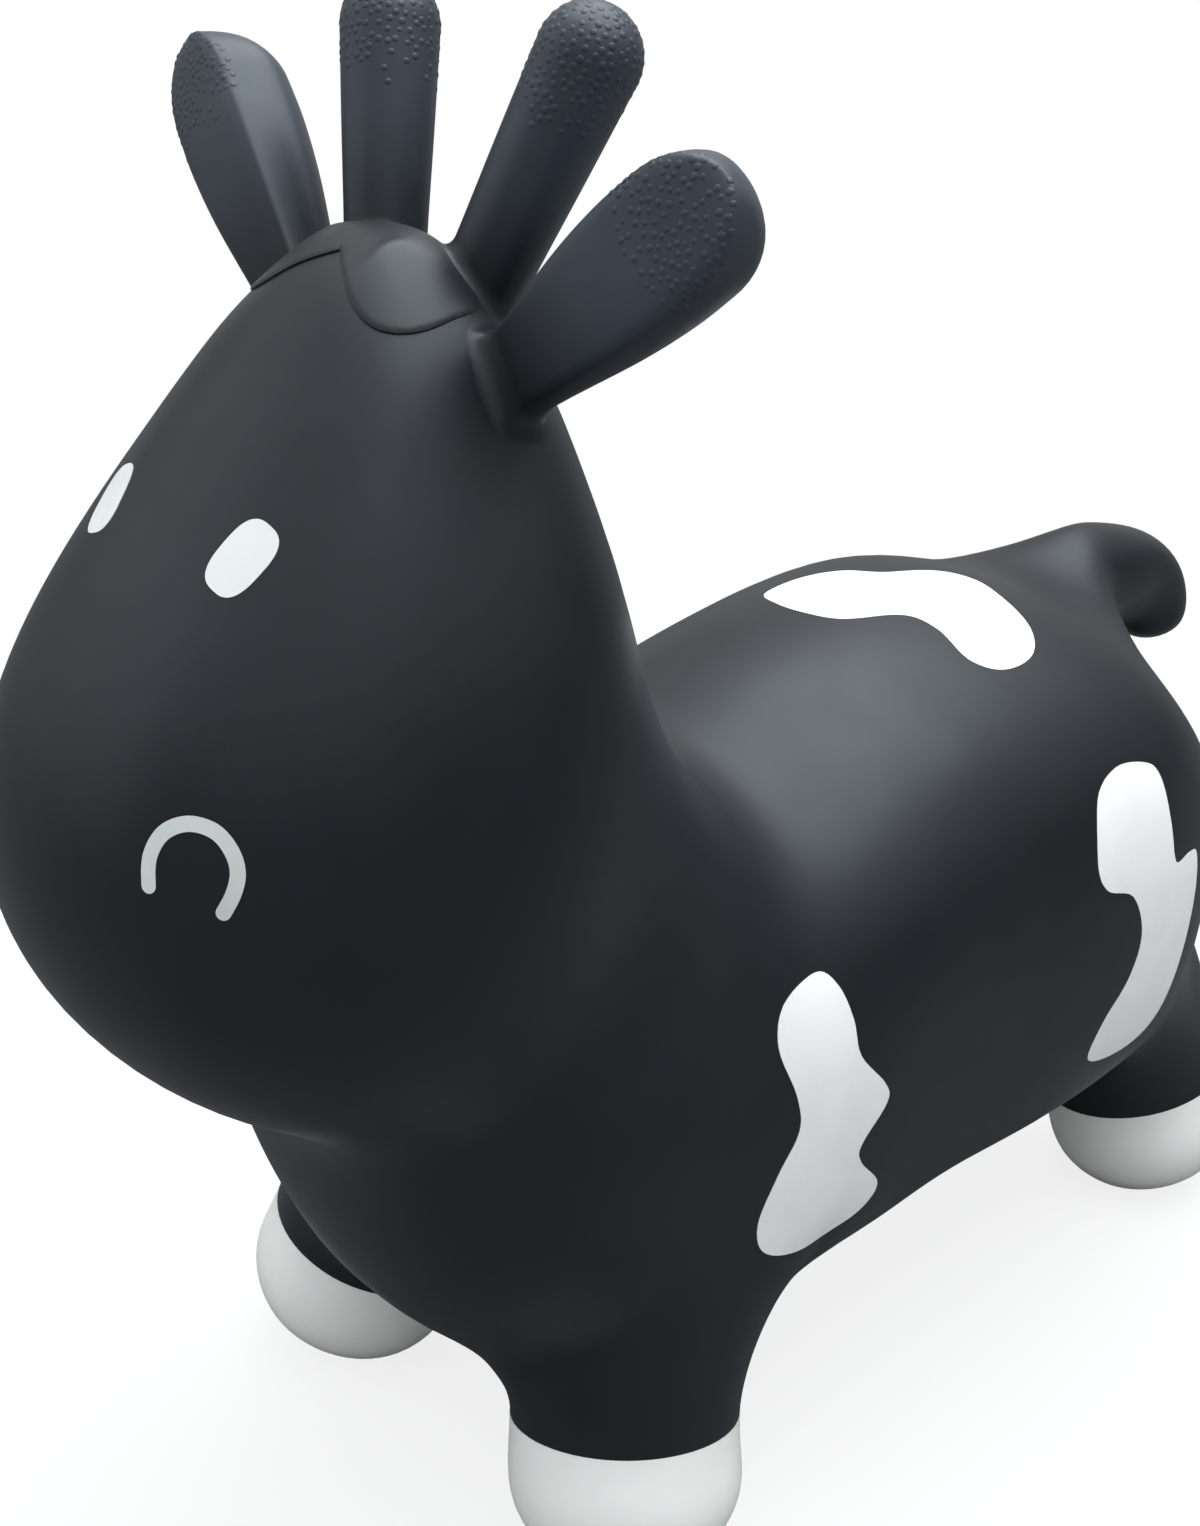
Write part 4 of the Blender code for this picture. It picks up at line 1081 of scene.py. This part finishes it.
def pebbled(mesh, seed, finish):
    """A mesh with grip pebbles standing on it."""
    tree, size = pebble_tree(), sizes()
    values = {"Spacing": size.pebble_spacing, "Width": size.pebble_width, "Height": size.pebble_height,
              "Seed": seed, "Finish": finish}
    inputs = {socket.identifier: values[socket.name] for socket in tree.interface.items_tree
              if socket.name in values}
    return worked(mesh, "NODES", {"node_group": tree}, inputs)


# The operators, one for each piece or group of like pieces and one for the stage

class COW_OT_skin(bpy.types.Operator):
    """Builds the one-piece moulded skin: torso, head, legs and tail"""
    bl_idname = "cow.skin"
    bl_label = "Moulded skin"

    def execute(self, context):
        add_piece("skin", smooth_skin(), vinyl_finish(), *SKIN_NODES, soft=True)
        return {"FINISHED"}


class COW_OT_hooves(bpy.types.Operator):
    """Paints the four hooves, each up to a level line round its leg"""
    bl_idname = "cow.hooves"
    bl_label = "Painted hooves"

    def execute(self, context):
        finish = hoof_finish()
        for end in ("front", "rear"):
            left = painted_hoof(end == "front")
            for side, mesh in (("left", left), ("right", mirrored(left))):
                node = f"hoof_{end}_{side}"
                add_piece(node + "_paint", mesh, finish, node, soft=True)
        return {"FINISHED"}


class COW_OT_grips(bpy.types.Operator):
    """Builds the two horns and the two ears that the child holds, with their pebbled ends"""
    bl_idname = "cow.grips"
    bl_label = "Horns and ears"

    def execute(self, context):
        tree, finish, size = skin_tree(), vinyl_finish("grip_vinyl", painted_lit=True), sizes()

        def horn_grip(place, front):
            return smoothstep(*HORN_PEBBLES, place)

        def ear_grip(place, front):
            return smoothstep(*EAR_PEBBLES, place) * smoothstep(*EAR_FRONT_PEBBLES, front)

        horn = (HORN_RADIUS, HORN_WIDTHS, HORN_SECTION, HORN_END, size.horn_fillet,
                horn_grip)
        ear = (EAR_RADIUS, EAR_WIDTHS, EAR_SECTION, EAR_END, size.ear_fillet, ear_grip)
        forms = (
            ("horn_left", HORN_ROOT, HORN_TIP, horn),
            ("horn_right", HORN_ROOT, HORN_TIP, horn),
            ("ear_left", EAR_ROOT, LEFT_EAR_TIP, ear),
            ("ear_right", EAR_ROOT, RIGHT_EAR_TIP, ear),
        )
        for seed, (node, root, tip, kind) in enumerate(forms, 1):
            mesh = finger_mesh(tree, shared_place(root), shared_place(tip), *kind)
            mesh = pebbled(mesh, seed, finish)
            if node.endswith("right"):
                mesh = mirrored(mesh)
            add_piece(node + "_grip", mesh, finish, node)
        return {"FINISHED"}


class COW_OT_forelock(bpy.types.Operator):
    """Lays the raised forelock with its two scallops on the crown"""
    bl_idname = "cow.forelock"
    bl_label = "Forelock"

    def execute(self, context):
        size = sizes()
        half = scaled(FORELOCK_HALF, size.forelock_width, size.forelock_depth)
        right = curve_through(half, CURVE_STEPS, closed=False)
        outline = right[:-1] + [Vector((-spot.x, spot.y)) for spot in right[:0:-1]]

        def height_at(away, spot):
            inset = 1 - min(1, away / size.forelock_edge)
            rounded = FORELOCK_WALL_SHARE + (1 - FORELOCK_WALL_SHARE) * math.sqrt(1 - inset * inset)
            front = 1 - smoothstep(*FORELOCK_FADE, spot.y / size.forelock_depth)
            return size.forelock_height * rounded * front

        lay = mark_frame(*FORELOCK_LAY)
        mesh = laid_on(skin_tree(), outline, lay, height_at, size.forelock_edge / 2)
        add_piece("forelock_pad", mesh, vinyl_finish(), "forelock")
        return {"FINISHED"}


class COW_OT_marks(bpy.types.Operator):
    """Paints the eyes, the nostrils and the cow patches"""
    bl_idname = "cow.marks"
    bl_label = "Painted marks"

    def execute(self, context):
        tree, size, tone = skin_tree(), sizes(), colours()
        patch = paint_finish("patch_paint", tone.patch, shade=0.95, roughness=0.50)
        eye = paint_finish("eye_paint", tone.eye, shade=0.96, roughness=0.46)
        nostril = paint_finish("nostril_paint", tone.nostril, shade=0.90, roughness=0.50)
        crosswise = curve_through(scaled(BACK_OUTLINE, *size.back_patch), CURVE_STEPS)
        tall = curve_through(scaled(SHOULDER_OUTLINE, *size.shoulder_patch), CURVE_STEPS)
        hooked = curve_through(scaled(RUMP_OUTLINE, *size.rump_patch), CURVE_STEPS)
        curl = stroke(scaled(NOSTRIL_PATH, size.nostril_size, size.nostril_size), size.nostril_stroke)
        marks = (
            ("patch_back", crosswise, BACK_LAY, PATCH_SPACING, patch),
            ("patch_shoulder_left", tall, SHOULDER_LAY, PATCH_SPACING, patch),
            ("patch_rump_left", hooked, RUMP_LAY, PATCH_SPACING, patch),
            ("patch_flank_right", hooked, FLANK_LAY, PATCH_SPACING, patch),
            ("patch_haunch_right", tall, HAUNCH_LAY, PATCH_SPACING, patch),
            ("eye_left", oval(size.eye_width, size.eye_height), EYE_LAY, EYE_SPACING, eye),
            ("nostril_left", curl, NOSTRIL_LAY, NOSTRIL_SPACING, nostril),
        )

        def film(away, spot):
            return size.paint_thickness

        for node, outline, lay, spacing, finish in marks:
            mesh = laid_on(tree, outline, mark_frame(*lay), film, spacing)
            add_piece(node + "_paint", mesh, finish, node)
            if finish != patch:  # the eyes and the nostrils are the same on both sides
                node = node.replace("left", "right")
                add_piece(node + "_paint", mirrored(mesh), finish, node)
        return {"FINISHED"}


class COW_OT_valve(bpy.types.Operator):
    """Gives the air valve under the belly its finishes"""
    bl_idname = "cow.valve"
    bl_label = "Air valve"

    def execute(self, context):
        for node, finish in (("valve_seat", vinyl_finish()), ("valve_plug", plug_finish())):
            for holder in frame["nodes"][node].material_slots:
                holder.material = finish
        return {"FINISHED"}


class COW_OT_stage(bpy.types.Operator):
    """Sets the pale floor, the soft lamps and the photograph's camera"""
    bl_idname = "cow.stage"
    bl_label = "Stage"

    def execute(self, context):
        ground = bmesh.new()
        bmesh.ops.create_grid(ground, x_segments=1, y_segments=1, size=FLOOR_REACH)
        finished_object("floor", mesh_from(ground, outward=False), floor_finish())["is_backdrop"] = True
        set_world(context.scene)
        set_lamps(context.scene.cow_light)
        set_camera(context.scene)
        context.scene.view_settings.view_transform = "Standard"
        return {"FINISHED"}


# The stage

def floor_finish():
    """A pale floor that holds the shadow near the toy and runs out to plain white."""
    finish, tree, shader, output = new_finish("pale_floor")
    ray = add_node(tree, "ShaderNodeLightPath", "Ray").outputs
    tone = mixed(tree, "Dimmer as a bounce", ray["Is Camera Ray"],
                 rgba(colours().floor, FLOOR_BOUNCE_SHARE), rgba(colours().floor))
    set_inputs(tree, shader, {"Base Color": tone, "Roughness": 0.8, "Specular IOR Level": 0.1})
    distance = add_node(tree, "ShaderNodeVectorMath", "From the toy", {"operation": "LENGTH"},
                        {0: object_place(tree)})
    near = ramped(tree, "Run out", distance, *FLOOR_FADE, "SMOOTHSTEP")
    far = ramped(tree, "Run out in gloss", distance, *FLOOR_GLOSS_FADE, "SMOOTHSTEP")
    seen = calculated(tree, "Seen by the camera", "MULTIPLY", near, ray["Is Camera Ray"])
    gloss = calculated(tree, "Gloss or glass", "MAXIMUM",
                       ray["Is Glossy Ray"], ray["Is Transmission Ray"])
    in_gloss = calculated(tree, "Seen in gloss", "MULTIPLY", far, gloss)
    white = add_node(tree, "ShaderNodeEmission", "White ground", values={"Strength": 1})
    mix = add_node(tree, "ShaderNodeMixShader", "Floor", values={
        0: calculated(tree, "White share", "MAXIMUM", seen, in_gloss), 1: shader, 2: white})
    set_inputs(tree, output, {"Surface": mix})
    return finish


def set_world(scene):
    """A white backdrop for the camera, a dimmer room in gloss, and an even fill light."""
    world = bpy.data.worlds.get("studio") or bpy.data.worlds.new("studio")
    scene.world = world
    world.use_nodes = True
    tree = world.node_tree
    tree.nodes.clear()
    ray = add_node(tree, "ShaderNodeLightPath", "Ray").outputs
    way = add_node(tree, "ShaderNodeTexCoord", "Way looked").outputs["Generated"]
    up = add_node(tree, "ShaderNodeSeparateXYZ", "How far up", values={"Vector": way}).outputs["Z"]
    behind = calculated(tree, "How far behind", "DOT_PRODUCT", way, BACKDROP_WAY,
                        "ShaderNodeVectorMath")
    pale = calculated(tree, "Room or backdrop", "MAXIMUM",
                      ramped(tree, "Paler overhead", up, *ROOM_FADE, "SMOOTHSTEP"),
                      ramped(tree, "Backdrop behind", behind, *BACKDROP_FADE, "SMOOTHSTEP"))
    strength = mixed(tree, "White for the camera", ray["Is Camera Ray"], pale, 1, "FLOAT")
    gloss = calculated(tree, "Camera or gloss", "MAXIMUM", ray["Is Camera Ray"], ray["Is Glossy Ray"])
    straight = calculated(tree, "Or glass", "MAXIMUM", gloss, ray["Is Transmission Ray"])
    fill = add_node(tree, "ShaderNodeBackground", "Fill",
                    values={"Color": FILL_COLOUR, "Strength": scene.cow_light.fill})
    seen = add_node(tree, "ShaderNodeBackground", "Backdrop",
                    values={"Color": (1, 1, 1, 1), "Strength": strength})
    mix = add_node(tree, "ShaderNodeMixShader", "World", values={0: straight, 1: fill, 2: seen})
    add_node(tree, "ShaderNodeOutputWorld", "Studio", values={"Surface": mix})


def set_lamps(light):
    """Two wide soft lamps: one above and behind the animal, and a weaker one in front of it."""
    for name, power, (size, place, target) in (("overhead", light.overhead, OVERHEAD_LAMP),
                                               ("front", light.front, FRONT_LAMP)):
        lamp = bpy.data.lights.new(name, "AREA")
        lamp.shape = "RECTANGLE"
        lamp.size, lamp.size_y = size
        lamp.energy = power
        lamp.color = LAMP_COLOUR
        thing = fresh_object(name, lamp)
        thing.location = place
        thing.rotation_euler = (Vector(target) - Vector(place)).to_track_quat("-Z", "Y").to_euler()


def set_camera(scene):
    """The photograph's camera. Turned by nothing, a camera looks straight down with its top to +Y."""
    lens = bpy.data.cameras.new("camera")
    lens.lens = lens.sensor_width * FOCAL_IN_PIXELS / PHOTO_HEIGHT
    lens.clip_start = 0.02
    scene.camera = fresh_object("camera", lens)
    scene.camera.matrix_world = (
        Matrix.Translation(CAMERA_PLACE)
        @ Matrix.Rotation(CAMERA_AZIMUTH, 4, "Z")
        @ Matrix.Rotation(math.pi / 2 - CAMERA_ELEVATION, 4, "X")
        @ Matrix.Rotation(-CAMERA_ROLL, 4, "Z"))


class COW_PT_dressing(bpy.types.Panel):
    """Lists the cow's pieces and their settings"""
    bl_idname = "COW_PT_dressing"
    bl_label = "Ride-on cow"
    bl_space_type = "VIEW_3D"
    bl_region_type = "UI"
    bl_category = "Ride-on cow"

    def draw(self, context):
        layout = self.layout
        for operator in OPERATORS:
            layout.operator(operator.bl_idname)
        for place, kind in GROUPS.items():
            box = layout.box()
            for name in kind.__annotations__:
                box.prop(getattr(context.scene, place), name)


OPERATORS = (COW_OT_skin, COW_OT_hooves, COW_OT_grips, COW_OT_forelock, COW_OT_marks, COW_OT_valve,
             COW_OT_stage)
GROUPS = {"cow_sizes": CowSizes, "cow_colours": CowColours, "cow_light": CowLight}
CLASSES = (*GROUPS.values(), *OPERATORS, COW_PT_dressing)


def register():
    """Makes the settings, the operators and the panel known to Blender."""
    for item in CLASSES:
        bpy.utils.register_class(item)
    for place, kind in GROUPS.items():
        setattr(bpy.types.Scene, place, PointerProperty(type=kind))


def unregister():
    """Takes them away again."""
    for place in GROUPS:
        delattr(bpy.types.Scene, place)
    for item in reversed(CLASSES):
        bpy.utils.unregister_class(item)


def main():
    """Builds every piece and the stage."""
    register()
    for operator in OPERATORS:
        group, name = operator.bl_idname.split(".")
        getattr(getattr(bpy.ops, group), name)()
    boxes = {"cad": CAD_BOX, "visual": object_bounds()}
    {name: [list(corner) for corner in box] for name, box in boxes.items()}


if __name__ == "__main__":
    main()
